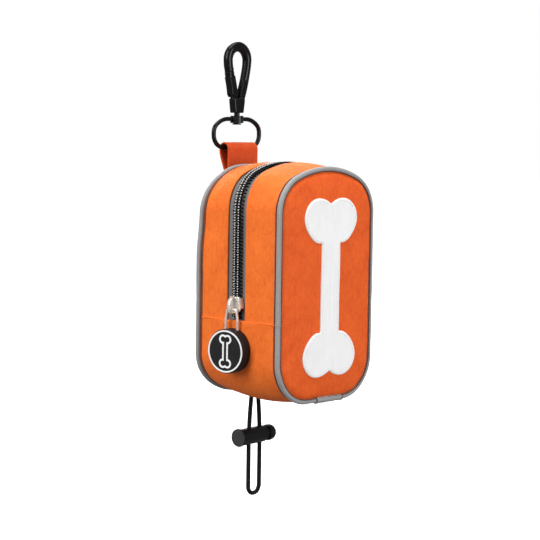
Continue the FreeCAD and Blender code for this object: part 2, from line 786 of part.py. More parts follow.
def hook_body():
    """The hook's bight, spine and block. A tongue below the gate carries the gate's pin."""
    body = new_body("hook_body")
    outer = size("hook_bight_outer")
    inner = size("hook_bight_inner")
    top = size("hook_top")
    outer_z = top - outer
    sketch = sketch_on(body, "XZ_Plane", "outline")
    block_top = -size("block_top")
    block_base = -size("block_base")
    side, spine_inner, foot = size("nose_side"), size("spine_inner"), size("spine_foot")
    top_half, base_half = size("block_top_half"), size("block_base_half")
    crotch = (size("crotch_right"), -size("crotch_drop"))
    shoulder = (size("spine_shoulder"), -size("spine_shoulder_drop"))
    sketch.addGeometry(
        [
            arc(0, outer_z, outer, 0, math.pi),
            line(-outer, outer_z, -side, NOSE_Z),
            line(-side, NOSE_Z, *NOSE_INNER),
            line(*NOSE_INNER, -inner, -inner),
            arc(0, -inner, inner, 0, math.pi),
            line(inner, -inner, spine_inner, NOSE_Z),
            line(spine_inner, NOSE_Z, *crotch),
            line(*crotch, foot, block_top),
            line(foot, block_top, -top_half, block_top),
            line(-top_half, block_top, -base_half, block_base),
            line(-base_half, block_base, base_half, block_base),
            line(base_half, block_base, top_half, block_top),
            line(top_half, block_top, *shoulder),
            line(*shoulder, side, NOSE_Z),
            line(side, NOSE_Z, outer, outer_z),
        ]
    )
    join(sketch, "Coincident", [(0, 2, 1, 1), (1, 2, 2, 1), (2, 2, 3, 1), (3, 2, 4, 2), (4, 1, 5, 1)])
    join(sketch, "Coincident", [(i, 2, i + 1, 1) for i in range(5, 14)] + [(14, 2, 0, 1)])
    radius_of(sketch, 0, "dims.hook_bight_outer")
    centre_of(sketch, 0, "0", "dims.hook_top - dims.hook_bight_outer")
    radius_of(sketch, 4, "dims.hook_bight_inner")
    centre_of(sketch, 4, "0", "-dims.hook_bight_inner")
    for edge, expression in ((8, "-dims.block_top"), (10, "-dims.block_base")):
        height_of(sketch, edge, 1, expression)
        height_of(sketch, edge, 2, expression)
    pad(body, sketch, "dims.hook_depth", side="Symmetric")
    tongue = sketch_on(body, "XZ_Plane", "tongue")
    tongue_r = size("gate_barrel_radius") - size("tongue_inset")
    tongue_left, tongue_right = PIVOT_X - size("tongue_left"), size("tongue_right")
    root = block_top - size("tongue_root")
    tongue.addGeometry(
        [
            arc(PIVOT_X, PIVOT_Z, tongue_r, 0, math.pi),
            line(PIVOT_X - tongue_r, PIVOT_Z, tongue_left, root),
            line(tongue_left, root, tongue_right, root),
            line(tongue_right, root, tongue_right, PIVOT_Z),
            line(tongue_right, PIVOT_Z, PIVOT_X + tongue_r, PIVOT_Z),
        ]
    )
    join(tongue, "Coincident", [(0, 2, 1, 1), (1, 2, 2, 1), (2, 2, 3, 1), (3, 2, 4, 1), (4, 2, 0, 1)])
    centre_of(tongue, 0, "-dims.gate_pivot_left", "-dims.gate_pivot_drop")
    pad(body, tongue, "dims.gate_tongue", side="Symmetric")
    pin_hole = circle_sketch(
        body, "XZ_Plane", "pin_hole", PIVOT_X, PIVOT_Z, "dims.gate_pin_radius", size("gate_pin_radius")
    )
    centre_of(pin_hole, 0, "-dims.gate_pivot_left", "-dims.gate_pivot_drop")
    pocket(body, pin_hole, "dims.hook_depth * 2")
    socket = circle_sketch(
        body, "XY_Plane", "post_socket", 0, 0, "dims.post_radius", size("post_radius"),
        AttachmentOffset__Base__z="-dims.block_base",
    )
    pocket(body, socket, "2 * dims.post_socket")


def gate():
    """The sprung gate: a lever hollowed from inside, whose two cheeks straddle the hook's tongue."""
    body = new_body("gate")
    radius = size("gate_barrel_radius")
    top = NOSE_Z - size("gate_gap")
    inner_top = (NOSE_INNER[0] + size("gate_nose_step"), NOSE_INNER[1] - size("gate_gap"))
    side = size("nose_side")
    toe = (-size("gate_toe_left"), -size("gate_toe_drop"))
    sketch = sketch_on(body, "XZ_Plane", "outline")
    sketch.addGeometry(
        [
            arc(PIVOT_X, PIVOT_Z, radius, math.pi, 2 * math.pi),
            line(PIVOT_X + radius, PIVOT_Z, *toe),
            line(*toe, *inner_top),
            line(*inner_top, -side, top),
            line(-side, top, PIVOT_X - radius, PIVOT_Z),
        ]
    )
    join(sketch, "Coincident", [(0, 2, 1, 1), (1, 2, 2, 1), (2, 2, 3, 1), (3, 2, 4, 1), (4, 2, 0, 1)])
    radius_of(sketch, 0, "dims.gate_barrel_radius")
    centre_of(sketch, 0, "-dims.gate_pivot_left", "-dims.gate_pivot_drop")
    pad(body, sketch, "dims.hook_depth", side="Symmetric")
    face_y = size("hook_depth") / 2
    dress_edges(
        body,
        "Chamfer",
        "dims.hook_edge_bevel",
        lambda e: abs(abs(e.BoundBox.Center.y) - face_y) < 1e-3
        and e.BoundBox.ZMax > -size("gate_bevel_foot")
        and e.BoundBox.ZLength > 5.0,
    )
    channel = sketch_on(body, "XZ_Plane", "channel")
    reach = size("gate_channel_reach")
    polygon(
        channel,
        [
            (PIVOT_X - reach, PIVOT_Z - reach),
            (reach, PIVOT_Z - reach),
            (reach, GATE_CHANNEL_TOP),
            (-size("gate_channel_left"), GATE_CHANNEL_TOP),
            (PIVOT_X - 2.0, PIVOT_Z + 1.0),
        ],
    )
    pocket(body, channel, "dims.gate_slot")
    pin_hole = circle_sketch(
        body,
        "XZ_Plane",
        "pin_hole",
        PIVOT_X,
        PIVOT_Z,
        "dims.gate_pin_radius + dims.gate_pin_play",
        size("gate_pin_radius") + size("gate_pin_play"),
    )
    centre_of(pin_hole, 0, "-dims.gate_pivot_left", "-dims.gate_pivot_drop")
    pocket(body, pin_hole, "dims.hook_depth * 2")


def gate_pin():
    body = new_body("gate_pin")
    sketch = circle_sketch(
        body, "XZ_Plane", "round", PIVOT_X, PIVOT_Z, "dims.gate_pin_radius", size("gate_pin_radius")
    )
    centre_of(sketch, 0, "-dims.gate_pivot_left", "-dims.gate_pivot_drop")
    pad(body, sketch, "dims.hook_depth - dims.pin_short", side="Symmetric")


def gate_spring():
    """A leaf that stands on the tongue and presses the gate outwards from inside its channel."""
    body = new_body("gate_spring")
    thick = size("gate_spring_thickness")
    sketch = sketch_on(body, "XZ_Plane", "leaf")
    foot = PIVOT_Z + size("gate_barrel_radius") - size("tongue_inset") + size("touch_play")
    foot_half = size("leaf_foot_half")
    tip_x, tip_z = -size("leaf_tip_left"), GATE_CHANNEL_TOP - size("leaf_tip_drop")
    polygon(
        sketch,
        [
            (PIVOT_X - foot_half, foot),
            (PIVOT_X + foot_half, foot),
            (PIVOT_X + foot_half, foot + thick),
            (PIVOT_X + thick, foot + thick),
            (tip_x + thick, tip_z),
            (tip_x, tip_z),
            (PIVOT_X - foot_half, foot + 2 * thick),
        ],
    )
    pad(body, sketch, "dims.gate_tongue - dims.pin_short", side="Symmetric")


# ---------------------------------------------------------------- zip slider and puller
def zip_slider():
    """Outer plate, inner plate, the post between them, two flanges and the crown over the link."""
    body = new_body(
        "zip_slider",
        Placement__Base__y="dims.zip_centre - dims.pouch_set_forward",
        Placement__Base__z="dims.slider_height - dims.pouch_drop",
    )
    tail = size("slider_tail_half")
    nose = size("slider_nose_half")
    half = size("slider_length") / 2
    waist = -half * size("slider_waist_share")
    tip = nose * size("slider_tip_share")
    outline = [(-tail, half), (-nose, waist), (-tip, -half), (tip, -half), (nose, waist), (tail, half)]
    face = "dims.pouch_width / 2"
    outer = sketch_on(
        body, "YZ_Plane", "outer_plate",
        AttachmentOffset__Base__z=f"-({face} + dims.slider_clearance + dims.slider_plate)",
    )
    polygon(outer, outline)
    pad(body, outer, "dims.slider_plate")
    post = sketch_on(
        body, "YZ_Plane", "post",
        AttachmentOffset__Base__z=f"-({face} + dims.slider_clearance)",
    )
    post_half = size("slider_post_half")
    post_low, post_high = -half + size("slider_post_base"), size("slider_post_top")
    polygon(
        post,
        [
            (-post_half, post_low),
            (post_half, post_low),
            (post_half, post_high),
            (-post_half, post_high),
        ],
    )
    behind_tape = "dims.zip_tape_inset + dims.zip_tape_thickness + dims.slider_play"
    pad(body, post, f"dims.slider_clearance + {behind_tape}")
    inner = sketch_on(
        body, "YZ_Plane", "inner_plate",
        AttachmentOffset__Base__z=f"-({face} - ({behind_tape}))",
    )
    polygon(inner, outline)
    pad(body, inner, "dims.slider_plate * dims.slider_inner_share")
    for sign, name in ((-1, "front_flange"), (1, "back_flange")):
        flange = sketch_on(
            body, "YZ_Plane", name,
            AttachmentOffset__Base__z=f"-({face} + dims.slider_clearance)",
        )
        near = size("slider_flange_half")
        polygon(
            flange,
            [
                (sign * near, half),
                (sign * (near + size("flange_tail")), half),
                (sign * nose, waist),
                (sign * near, waist),
            ],
        )
        pad(body, flange, "dims.slider_clearance + dims.zip_tape_inset - dims.flange_trim")
    crown = sketch_on(body, "XZ_Plane", "crown")
    plate_x = -(HALF_WIDTH + size("slider_clearance") + size("slider_plate"))
    pivot_x = -size("pull_pivot_out")
    wire = size("link_wire_radius")
    inside = pivot_x - wire - size("crown_play")
    outside = inside - size("crown_plate")
    root = plate_x + size("crown_root")
    polygon(
        crown,
        [
            (root, half - 0.5),
            (outside, half - 2.0),
            (outside, -half + 1.0),
            (root, -half + 0.1),
            (root, -half + 0.9),
            (inside, -half + 0.9),
            (inside, half - 2.6),
            (plate_x - 0.1, half - 2.4),
            (root, half - 2.4),
        ],
    )
    pad(body, crown, "2 * dims.crown_half", side="Symmetric")


def pull_placement():
    """The puller is drawn about its pivot, facing -X, then turned about Z."""
    return dict(
        Placement__Base__x="-dims.pull_pivot_out",
        Placement__Base__y="dims.pull_pivot_offset - dims.pouch_set_forward",
        Placement__Base__z="dims.pull_pivot_height - dims.pouch_drop",
        Placement__Rotation__Angle="dims.pull_yaw",
    )


def pull_link():
    """The wire link: narrow over the slider's crown, wide where the disc is moulded on it."""
    body = new_body("pull_link", **pull_placement())
    top = size("link_top_half")
    leg = size("link_leg_half")
    low = -size("link_length")
    neck = -size("link_neck")
    path = sketch_on(body, "YZ_Plane", "path")
    corners = [(-top, 0.0), (top, 0.0), (leg, neck), (leg, low), (-leg, low), (-leg, neck)]
    rounded_path(path, corners, size("link_bend"))
    section = sketch_on(body, "XZ_Plane", "wire")
    section.addGeometry(Part.Circle(vector(0, 0), vector(0, 0, 1), size("link_wire_radius")))
    radius_of(section, 0, "dims.link_wire_radius")
    centre_of(section, 0, "0", "0")
    pipe(body, path, section)


def rounded_path(sketch, corners, bend):
    """A closed path of straight runs joined by tangent arcs of one radius."""
    count = len(corners)
    runs = []
    for i, (x, z) in enumerate(corners):
        before, after = corners[i - 1], corners[(i + 1) % count]
        into = FreeCAD.Vector(x - before[0], z - before[1], 0).normalize()
        out = FreeCAD.Vector(after[0] - x, after[1] - z, 0).normalize()
        turn = math.atan2(into.x * out.y - into.y * out.x, into.dot(out))
        setback = bend * math.tan(abs(turn) / 2)
        side = 1 if turn > 0 else -1
        normal = FreeCAD.Vector(-into.y, into.x, 0) * side
        start = FreeCAD.Vector(x, z, 0) - into * setback
        finish = FreeCAD.Vector(x, z, 0) + out * setback
        runs.append((start, finish, start + normal * bend, side))
    for i, (start, finish, centre, side) in enumerate(runs):
        first, last = (start, finish) if side > 0 else (finish, start)
        a0 = math.atan2(first.y - centre.y, first.x - centre.x)
        a1 = math.atan2(last.y - centre.y, last.x - centre.x)
        sketch.addGeometry(arc(centre.x, centre.y, bend, a0, a1))
        following = runs[(i + 1) % count][0]
        sketch.addGeometry(Part.LineSegment(finish, following))
    pairs = []
    for i, (start, finish, centre, side) in enumerate(runs):
        arc_out = 2 if side > 0 else 1
        next_side = runs[(i + 1) % count][3]
        pairs.append((2 * i, arc_out, 2 * i + 1, 1))
        pairs.append((2 * i + 1, 2, (2 * i + 2) % (2 * count), 1 if next_side > 0 else 2))
    join(sketch, "Coincident", pairs)


def pull_disc():
    """The thick rubber disc, moulded round the link's lower bar."""
    body = new_body("pull_disc", **pull_placement())
    sketch = circle_sketch(
        body, "YZ_Plane", "round", 0, -size("disc_drop"), "dims.disc_radius", size("disc_radius"),
        AttachmentOffset__Base__z="dims.disc_back - dims.disc_thickness",
    )
    centre_of(sketch, 0, "0", "-dims.disc_drop")
    pad(body, sketch, "dims.disc_thickness")
    dress_edges(body, "Fillet", "dims.disc_edge_radius", lambda e: e.BoundBox.XLength < 1e-3)


def pull_disc_ring():
    """The pale circle that stands on the disc's face."""
    body = new_body("pull_disc_ring", **pull_placement())
    sketch = sketch_on(
        body, "YZ_Plane", "ring",
        AttachmentOffset__Base__z="dims.disc_back - dims.disc_thickness - dims.inlay_proud",
    )
    for index, name in enumerate(("disc_ring_outer", "disc_ring_inner")):
        sketch.addGeometry(Part.Circle(vector(0, -size("disc_drop")), vector(0, 0, 1), size(name)))
        radius_of(sketch, index, f"dims.{name}")
        centre_of(sketch, index, "0", "-dims.disc_drop")
    pad(body, sketch, "dims.inlay_proud")


def pull_disc_bone():
    """The pale bone outline that stands on the disc's face."""
    body = new_body("pull_disc_bone", **pull_placement())
    sketch = sketch_on(
        body, "YZ_Plane", "bone",
        AttachmentOffset__Base__z="dims.disc_back - dims.disc_thickness - dims.inlay_proud",
    )
    half = size("disc_bone_half_height")
    shape = (
        size("disc_bone_lobe_offset"),
        size("disc_bone_lobe_radius"),
        size("disc_bone_shaft_half"),
        half,
        -half,
        size("disc_bone_notch_radius"),
    )
    for index, inset in enumerate((0.0, size("disc_bone_stroke"))):
        first = bone_outline(sketch, *shape, inset=inset, offset=(0.0, -size("disc_drop")))
        radius = "dims.disc_bone_lobe_radius" + (" - dims.disc_bone_stroke" if index else "")
        for edge in (0, 3, 4, 7):
            radius_of(sketch, first + edge, radius)
    pad(body, sketch, "dims.inlay_proud")


# ---------------------------------------------------------------- cord and toggle
def toggle_placement():
    """The toggle is drawn along X about the middle of its two cord holes, then turned about Z."""
    return dict(
        Placement__Base__y="-dims.cord_forward",
        Placement__Base__z="-dims.toggle_drop",
        Placement__Rotation__Angle="dims.toggle_yaw",
    )


def turned(body, name, profile):
    """Turns a closed profile of (x, radius) corners about the body's own X axis."""
    sketch = sketch_on(body, "XZ_Plane", name)
    polygon(sketch, profile)
    feature = body.newObject("PartDesign::Revolution", f"{body.Label}_turned")
    feature.Profile = sketch
    feature.ReferenceAxis = (sketch, ["H_Axis"])
    feature.Angle = 360.0
    body.Tip = feature


def toggle_barrel():
    """The toggle's barrel, bored blind for the plunger, with a hole for each leg of the cord."""
    body = new_body("toggle_barrel", **toggle_placement())
    left, right = -size("barrel_left"), size("barrel_right")
    cap = left - size("barrel_cap")
    radius, bore = size("barrel_radius"), size("barrel_bore_radius")
    cap_radius = size("barrel_cap_radius")
    blind = cap + size("barrel_blind")
    bevel = size("barrel_bevel")
    turned(
        body,
        "profile",
        [
            (cap, 0),
            (cap, cap_radius - bevel),
            (cap + bevel, cap_radius),
            (left - 0.1, cap_radius),
            (left + 0.2, radius),
            (right - bevel, radius),
            (right, radius - bevel),
            (right, bore),
            (blind, bore),
            (blind, 0),
        ],
    )
    cord_holes(body)


def cord_holes(body):
    sketch = sketch_on(body, "XY_Plane", "cord_holes")
    for index, sign in enumerate((-1, 1)):
        x = sign * size("cord_spacing") / 2
        sketch.addGeometry(Part.Circle(vector(x, 0), vector(0, 0, 1), size("cord_hole_radius")))
        radius_of(sketch, index, "dims.cord_hole_radius")
        fix(sketch, "DistanceX", (-1, 1, index, 3), x, f"{sign} * dims.cord_spacing / 2")
    pocket(body, sketch, "4 * dims.barrel_radius")


def toggle_plunger():
    """The push button and its stem, slotted so that the stem's end pinches the cord."""
    body = new_body("toggle_plunger", **toggle_placement())
    stem = size("stem_radius")
    base, knob, end = size("knob_base"), size("knob_radius"), size("knob_end")
    centre = end - knob
    angles = [math.radians(degrees) for degrees in range(90, 0, -15)]
    dome = [(centre + knob * math.cos(a), knob * math.sin(a)) for a in angles]
    shank = [(-size("stem_left"), 0), (-size("stem_left"), stem), (base, stem)]
    bevel = size("knob_bevel")
    collar = [(base, knob - bevel), (base + bevel, knob - size("knob_step"))]
    turned(body, "profile", shank + collar + dome + [(end, 0)])
    slot = sketch_on(body, "XY_Plane", "slot")
    half = size("cord_radius") + size("stem_slot_play")
    leg = size("cord_spacing") / 2 + size("cord_radius")
    start = -leg - size("stem_slot_left")
    finish = leg + size("plunger_travel") + size("stem_slot_right")
    polygon(slot, [(start, -half), (finish, -half), (finish, half), (start, half)])
    pocket(body, slot, "4 * dims.stem_radius")


def toggle_spring():
    """The coil spring behind the plunger."""
    body = new_body("toggle_spring", **toggle_placement())
    wire = size("toggle_spring_wire")
    blind = -(size("barrel_left") + size("barrel_cap") - size("barrel_blind"))
    start = blind + wire + size("touch_play")
    finish = -size("stem_left") - wire - size("touch_play")
    sketch = sketch_on(body, "XZ_Plane", "wire")
    sketch.addGeometry(Part.Circle(vector(start, size("toggle_spring_radius")), vector(0, 0, 1), wire))
    radius_of(sketch, 0, "dims.toggle_spring_wire")
    feature = body.newObject("PartDesign::AdditiveHelix", "toggle_spring_coil")
    feature.Profile = sketch
    feature.ReferenceAxis = (sketch, ["H_Axis"])
    feature.Mode = "height-turns-angle"
    feature.Height = finish - start
    feature.setExpression("Turns", "dims.toggle_spring_turns")
    body.Tip = feature


def cord_anchor_patch():
    """The patch inside the base that the cord's two ends are sewn to."""
    body = new_body(
        "cord_anchor_patch",
        Placement__Base__y="-dims.cord_forward",
        Placement__Base__z="dims.gusset_inset + dims.gusset_thickness + 0.02 - dims.pouch_drop",
        Placement__Rotation__Angle="dims.toggle_yaw",
    )
    sketch = sketch_on(body, "XY_Plane", "patch", AttachmentOffset__Base__y="-dims.anchor_set_forward")
    x, y = size("anchor_length") / 2, size("anchor_width") / 2
    polygon(sketch, [(-x, -y), (x, -y), (x, y), (-x, y)])
    pad(body, sketch, "dims.anchor_thickness")


def drawcord():
    """The elastic cord's loop: two straight legs through the toggle and a tight turn at the bottom.

    The corners are chosen by hand. Each is rounded by 0.45 of its shorter run over the tangent of
    half its turn.
    """
    half = size("cord_spacing") / 2
    top = size("gusset_inset") + size("gusset_thickness") - size("pouch_drop")
    bottom = -size("cord_bottom") - size("pouch_drop")
    corners = [
        (-half, top),
        (-half, bottom + 2.4),
        (-half * 0.5, bottom),
        (half * 0.5, bottom),
        (half, bottom + 2.4),
        (half, top),
    ]
    points = [FreeCAD.Vector(x, 0, z) for x, z in corners]
    edges = []
    last = points[0]
    for before, corner, after in zip(points, points[1:], points[2:]):
        into = (corner - before).normalize()
        out = (after - corner).normalize()
        turn = into.getAngle(out)
        shorter = min((corner - before).Length, (after - corner).Length)
        radius = 0.45 * shorter / math.tan(turn / 2)
        setback = 0.45 * shorter
        print(f"cord turn {math.degrees(turn):.0f} deg, radius {radius:.2f} mm")
        start = corner - into * setback
        finish = corner + out * setback
        bisector = (out - into).normalize()
        middle = corner + bisector * (radius / math.cos(turn / 2) - radius)
        edges.append(Part.LineSegment(last, start).toShape())
        edges.append(Part.Arc(start, middle, finish).toShape())
        last = finish
    edges.append(Part.LineSegment(last, points[-1]).toShape())
    path = Part.Wire(edges)
    ring = Part.Wire([Part.makeCircle(size("cord_radius"), points[0], FreeCAD.Vector(0, 0, 1))])
    solid = path.makePipeShell([ring], True, False)
    expected = math.pi * size("cord_radius") ** 2 * path.Length
    print(f"cord length {path.Length:.1f} mm, volume {solid.Volume:.1f} of {expected:.1f} mm3")
    cord = doc.addObject("Part::Feature", "drawcord")
    cord.Label = "drawcord"
    cord.Shape = solid
    bound(cord, Placement__Base__y="-dims.cord_forward", Placement__Rotation__Angle="dims.toggle_yaw")
    PIECES.append(cord)


def base_cord_holes(body):
    """The two holes in the base gusset that the cord's legs pass."""
    sketch = sketch_on(
        body,
        "XY_Plane",
        "cord_holes",
        AttachmentOffset__Base__y="dims.pouch_set_forward - dims.cord_forward",
        AttachmentOffset__Rotation__Angle="dims.toggle_yaw",
    )
    for index, sign in enumerate((-1, 1)):
        x = sign * size("cord_spacing") / 2
        sketch.addGeometry(Part.Circle(vector(x, 0), vector(0, 0, 1), size("cord_radius") + 0.05))
        radius_of(sketch, index, "dims.cord_radius + 0.05")
        fix(sketch, "DistanceX", (-1, 1, index, 3), x, f"{sign} * dims.cord_spacing / 2")
    pocket(body, sketch, "2 * (dims.gusset_inset + dims.gusset_thickness) + 1")


base_cord_holes(doc.getObject("base_gusset"))
seam_binding("front_seam_binding", -1)
seam_binding("back_seam_binding", 1)
bone_applique()
hang_strap()
swivel_ring()
swivel_post()
hook_body()
gate()
gate_pin()
gate_spring()
zip_slider()
pull_link()
pull_disc()
pull_disc_ring()
pull_disc_bone()
toggle_barrel()
toggle_plunger()
toggle_spring()
cord_anchor_patch()
drawcord()

# ---------------------------------------------------------------- checks and files
doc.recompute()
for item in doc.Objects:
    if "Invalid" in item.State or "Error" in item.State:
        raise SystemExit(f"{item.Name} failed: {item.State}")
for piece in PIECES:
    if piece.Shape.isNull() or not piece.Shape.isValid():
        raise SystemExit(f"{piece.Label} has no valid shape")
os.makedirs("parts", exist_ok=True)
for piece in PIECES:
    piece.Shape.exportStep(f"parts/{piece.Label}.step")
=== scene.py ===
import math

import bmesh
import bpy
import numpy as np
from mathutils import Matrix, Vector, noise
from mathutils.bvhtree import BVHTree


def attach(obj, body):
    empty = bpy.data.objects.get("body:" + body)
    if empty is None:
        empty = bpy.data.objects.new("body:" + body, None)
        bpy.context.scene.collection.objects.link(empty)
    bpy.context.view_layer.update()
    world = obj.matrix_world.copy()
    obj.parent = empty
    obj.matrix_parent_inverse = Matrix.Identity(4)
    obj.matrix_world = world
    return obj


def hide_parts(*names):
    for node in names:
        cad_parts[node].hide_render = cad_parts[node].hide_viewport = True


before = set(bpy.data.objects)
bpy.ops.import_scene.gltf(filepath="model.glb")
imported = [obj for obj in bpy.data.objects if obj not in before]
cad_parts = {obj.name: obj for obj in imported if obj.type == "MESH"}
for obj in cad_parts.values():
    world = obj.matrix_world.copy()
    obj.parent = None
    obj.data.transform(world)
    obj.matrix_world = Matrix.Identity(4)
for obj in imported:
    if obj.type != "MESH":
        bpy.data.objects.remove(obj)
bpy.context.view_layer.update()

# Lengths in this file are millimetres in the object's own frame, and turn into metres as each mesh is made.
MM = 0.001

# ---------------------------------------------------------------- sizes, as in the CAD model
HALF_WIDTH, SHOULDER_R, CROWN_R, BASE_R = 32.0, 18.0, 53.6, 19.6
TALL, DROP = 109.4, 165.4
FRONT_Y, BACK_Y = -60.8, -7.6
ZIP_Y, ZIP_HALF = -33.2, 6.0
SEAM = 37.3
PIPING_R, PIPING_GIRTH, PIPING_SIDES = 1.25, 7.85, 20
CORD_R = 1.1
CORD_Y, TOGGLE_YAW = -15.0, math.radians(5.0)
CHAIN_Y = ZIP_Y + 0.3
SLIDER_Z = -120.4


# ---------------------------------------------------------------- camera
def new_object(name, data):
    """A new object in the scene."""
    piece = bpy.data.objects.new(name, data)
    bpy.context.scene.collection.objects.link(piece)
    return piece


def direction_to(azimuth, elevation):
    """The direction from the object to a camera or a light, in degrees; azimuth 0 is the front."""
    a, e = math.radians(azimuth), math.radians(elevation)
    return Vector((math.sin(a) * math.cos(e), -math.cos(a) * math.cos(e), math.sin(e)))


def make_camera():
    """The photograph's view: from the front left, a little above, from 0.83 m, rolled by under a degree."""
    azimuth, elevation, roll, distance = -46.0, 4.71, math.radians(-0.82), 828.9
    aim = Vector((-4.96, -29.06, -105.6))
    back, right = direction_to(azimuth, elevation), direction_to(azimuth + 90, 0)
    up = back.cross(right)
    turned_right = right * math.cos(roll) - up * math.sin(roll)
    turned_up = right * math.sin(roll) + up * math.cos(roll)
    data = bpy.data.cameras.new("camera")
    data.sensor_width, data.lens = 36.0, 114.16
    data.clip_start, data.clip_end = 0.01, 20.0
    camera = new_object("camera", data)
    axes = Matrix((turned_right, turned_up, back)).transposed().to_4x4()
    camera.matrix_world = Matrix.Translation((aim + back * distance) * MM) @ axes
    bpy.context.scene.camera = camera


make_camera()


# ---------------------------------------------------------------- material kit
class Value:
    """A socket of a material's node tree that takes part in sums."""

    def __init__(self, shader, socket):
        self.shader, self.socket = shader, socket

    def __add__(self, other):
        return self.shader.math("ADD", self, other)

    def __sub__(self, other):
        return self.shader.math("SUBTRACT", self, other)

    def __mul__(self, other):
        return self.shader.math("MULTIPLY", self, other)

    def __truediv__(self, other):
        return self.shader.math("DIVIDE", self, other)

    def __abs__(self):
        return self.shader.math("ABSOLUTE", self)


class Shader:
    """A node material with short calls for the nodes that the finishes below share."""

    def __init__(self, name, roughness, **fixed):
        self.material = bpy.data.materials.new(name)
        self.material.use_nodes = True
        self.tree = self.material.node_tree
        self.surface = self.tree.nodes["Principled BSDF"].inputs
        for key, value in {"Roughness": roughness, **fixed}.items():
            self.surface[key.replace("_", " ")].default_value = value

    def feed(self, socket, value):
        """Links a Value to a socket, or gives the socket a number, a vector or an (r, g, b) colour."""
        if isinstance(value, Value):
            self.tree.links.new(value.socket, socket)
        else:
            socket.default_value = (*value, 1.0) if socket.type == "RGBA" else value

    def node(self, kind, inputs, output=0, **settings):
        """One output of a new node. Inputs and outputs go by name or by number."""
        node = self.tree.nodes.new("ShaderNode" + kind)
        for key, value in settings.items():
            setattr(node, key, value)
        for key, value in inputs.items():
            self.feed(node.inputs[key], value)
        return Value(self, node.outputs[output])

    def math(self, operation, *values):
        return self.node("Math", dict(enumerate(values)), operation=operation)

    def vector(self, operation, a, b):
        second = "Scale" if operation == "SCALE" else 1
        output = "Value" if operation == "DOT_PRODUCT" else "Vector"
        return self.node("VectorMath", {0: a, second: b}, output, operation=operation)

    def place(self):
        """Position on the object, in millimetres."""
        return self.vector("SCALE", self.node("TexCoord", {}, "Object"), 1000.0)

    def cloth(self):
        """Position on the flat cloth, in millimetres."""
        return self.vector("SCALE", self.node("Attribute", {}, "Vector", attribute_name="cloth"), 1000.0)

    def split(self, vector):
        """A vector's x, y and z."""
        return [Value(self, output) for output in self.node("SeparateXYZ", {0: vector}).socket.node.outputs]

    def noise(self, where, scale, detail=3.0, roughness=0.55):
        inputs = {"Vector": where, "Scale": scale, "Detail": detail, "Roughness": roughness}
        return self.node("TexNoise", inputs, "Fac")

    def ramp(self, value, low, high, to_low=0.0, to_high=1.0):
        return self.node("MapRange", dict(enumerate((value, low, high, to_low, to_high))))

    def mix(self, share, first, second):
        return self.node("Mix", {0: share, 6: first, 7: second}, 2, data_type="RGBA")

    def colour(self, share, first, second):
        self.feed(self.surface["Base Color"], self.mix(share, first, second))

    def rough(self, value):
        self.feed(self.surface["Roughness"], value)

    def bump(self, height, depth, strength):
        """Adds relief. height runs from 0 to 1 and depth is what 1 stands for, in millimetres."""
        normal = self.surface["Normal"]
        inputs = {"Height": height, "Strength": strength, "Distance": depth * MM}
        if normal.is_linked:
            inputs["Normal"] = Value(self, normal.links[0].from_socket)
        self.feed(normal, self.node("Bump", inputs, "Normal"))

    def wave(self, coordinate, pitch):
        """A smooth wave from 0 to 1 along a coordinate."""
        return self.math("SINE", coordinate * (2 * math.pi / pitch)) * 0.5 + 0.5


def hexagons(shader, across, along, pitch):
    """How deep in its hexagon a place lies: 0 at the edge and about 1 in the middle."""
    tall = math.sqrt(3.0)
    edges = []
    for shift in (40.0, 40.5):
        x = abs(shader.math("FRACT", across / pitch + shift) - 0.5)
        y = abs(shader.math("FRACT", along / (pitch * tall) + shift) - 0.5) * tall
        edges.append(shader.math("MAXIMUM", x, x * 0.5 + y * (tall / 2)))
    return shader.math("MINIMUM", *edges) * -2.0 + 1.0


def woven(name, light, dark, pitch=0.52, hexed=True, roughness=0.66):
    """Woven polyester: fine yarns over and under, a tonal hexagon figure, uneven dye and a soft sheen."""
    shader = Shader(
        name, roughness,
        Sheen_Weight=0.08, Sheen_Roughness=0.45, Sheen_Tint=(*light, 1.0), Specular_IOR_Level=0.25,
    )
    cloth = shader.cloth()
    across, along, _ = shader.split(cloth)
    yarn = shader.wave(across + along + shader.noise(cloth, 0.35) * 0.5, pitch * 1.4)
    relief = yarn * 0.65 + shader.wave(along - across, pitch * 0.7) * 0.35
    patchy = shader.noise(cloth, 0.09, 4.0)
    fine = shader.noise(cloth, 1.3, 3.0, 0.75)
    slub = shader.noise(shader.vector("MULTIPLY", cloth, (1.0, 0.45, 1.0)), 0.62, 3.0, 0.65)
    shade = relief * 0.22 + patchy * 0.24 + fine * 0.30 + slub * 0.24
    if hexed:
        drift = shader.vector("SCALE", shader.node("TexNoise", {"Vector": cloth, "Scale": 0.5}, "Color"), 1.1)
        drifted_across, drifted_along, _ = shader.split(shader.vector("ADD", cloth, drift))
        cell = hexagons(shader, drifted_across, drifted_along, 11.5)
        line = shader.ramp(cell, 0.03, 0.13, 1.0, 0.0)
        line = line * shader.ramp(shader.noise(cloth, 0.22), 0.35, 0.6, 0.25, 1.0)
        shade = line * -0.045 + shade
        shader.bump(line, 0.05, 0.4)
    shader.colour(shader.ramp(shade, 0.36, 0.64), dark, light)
    shader.rough(shader.ramp(shade, 0.2, 0.8, roughness + 0.1, roughness - 0.06))
    shader.bump(relief, 0.10, 0.55)
    shader.bump(shader.noise(cloth, 0.16), 0.5, 0.3)
    return shader.material


def tape_weave(name, light, dark, roughness=0.78):
    """Woven tape: a close herringbone of dull yarns."""
    shader = Shader(name, roughness, Sheen_Weight=0.1)
    cloth = shader.cloth()
    across, along, _ = shader.split(cloth)
    rib = shader.wave(along + shader.math("PINGPONG", across, 1.3), 0.62)
    shade = rib * 0.5 + shader.noise(cloth, 1.7) * 0.5
    shader.colour(shader.ramp(shade, 0.2, 0.8), dark, light)
    shader.bump(rib, 0.12, 0.7)
    return shader.material


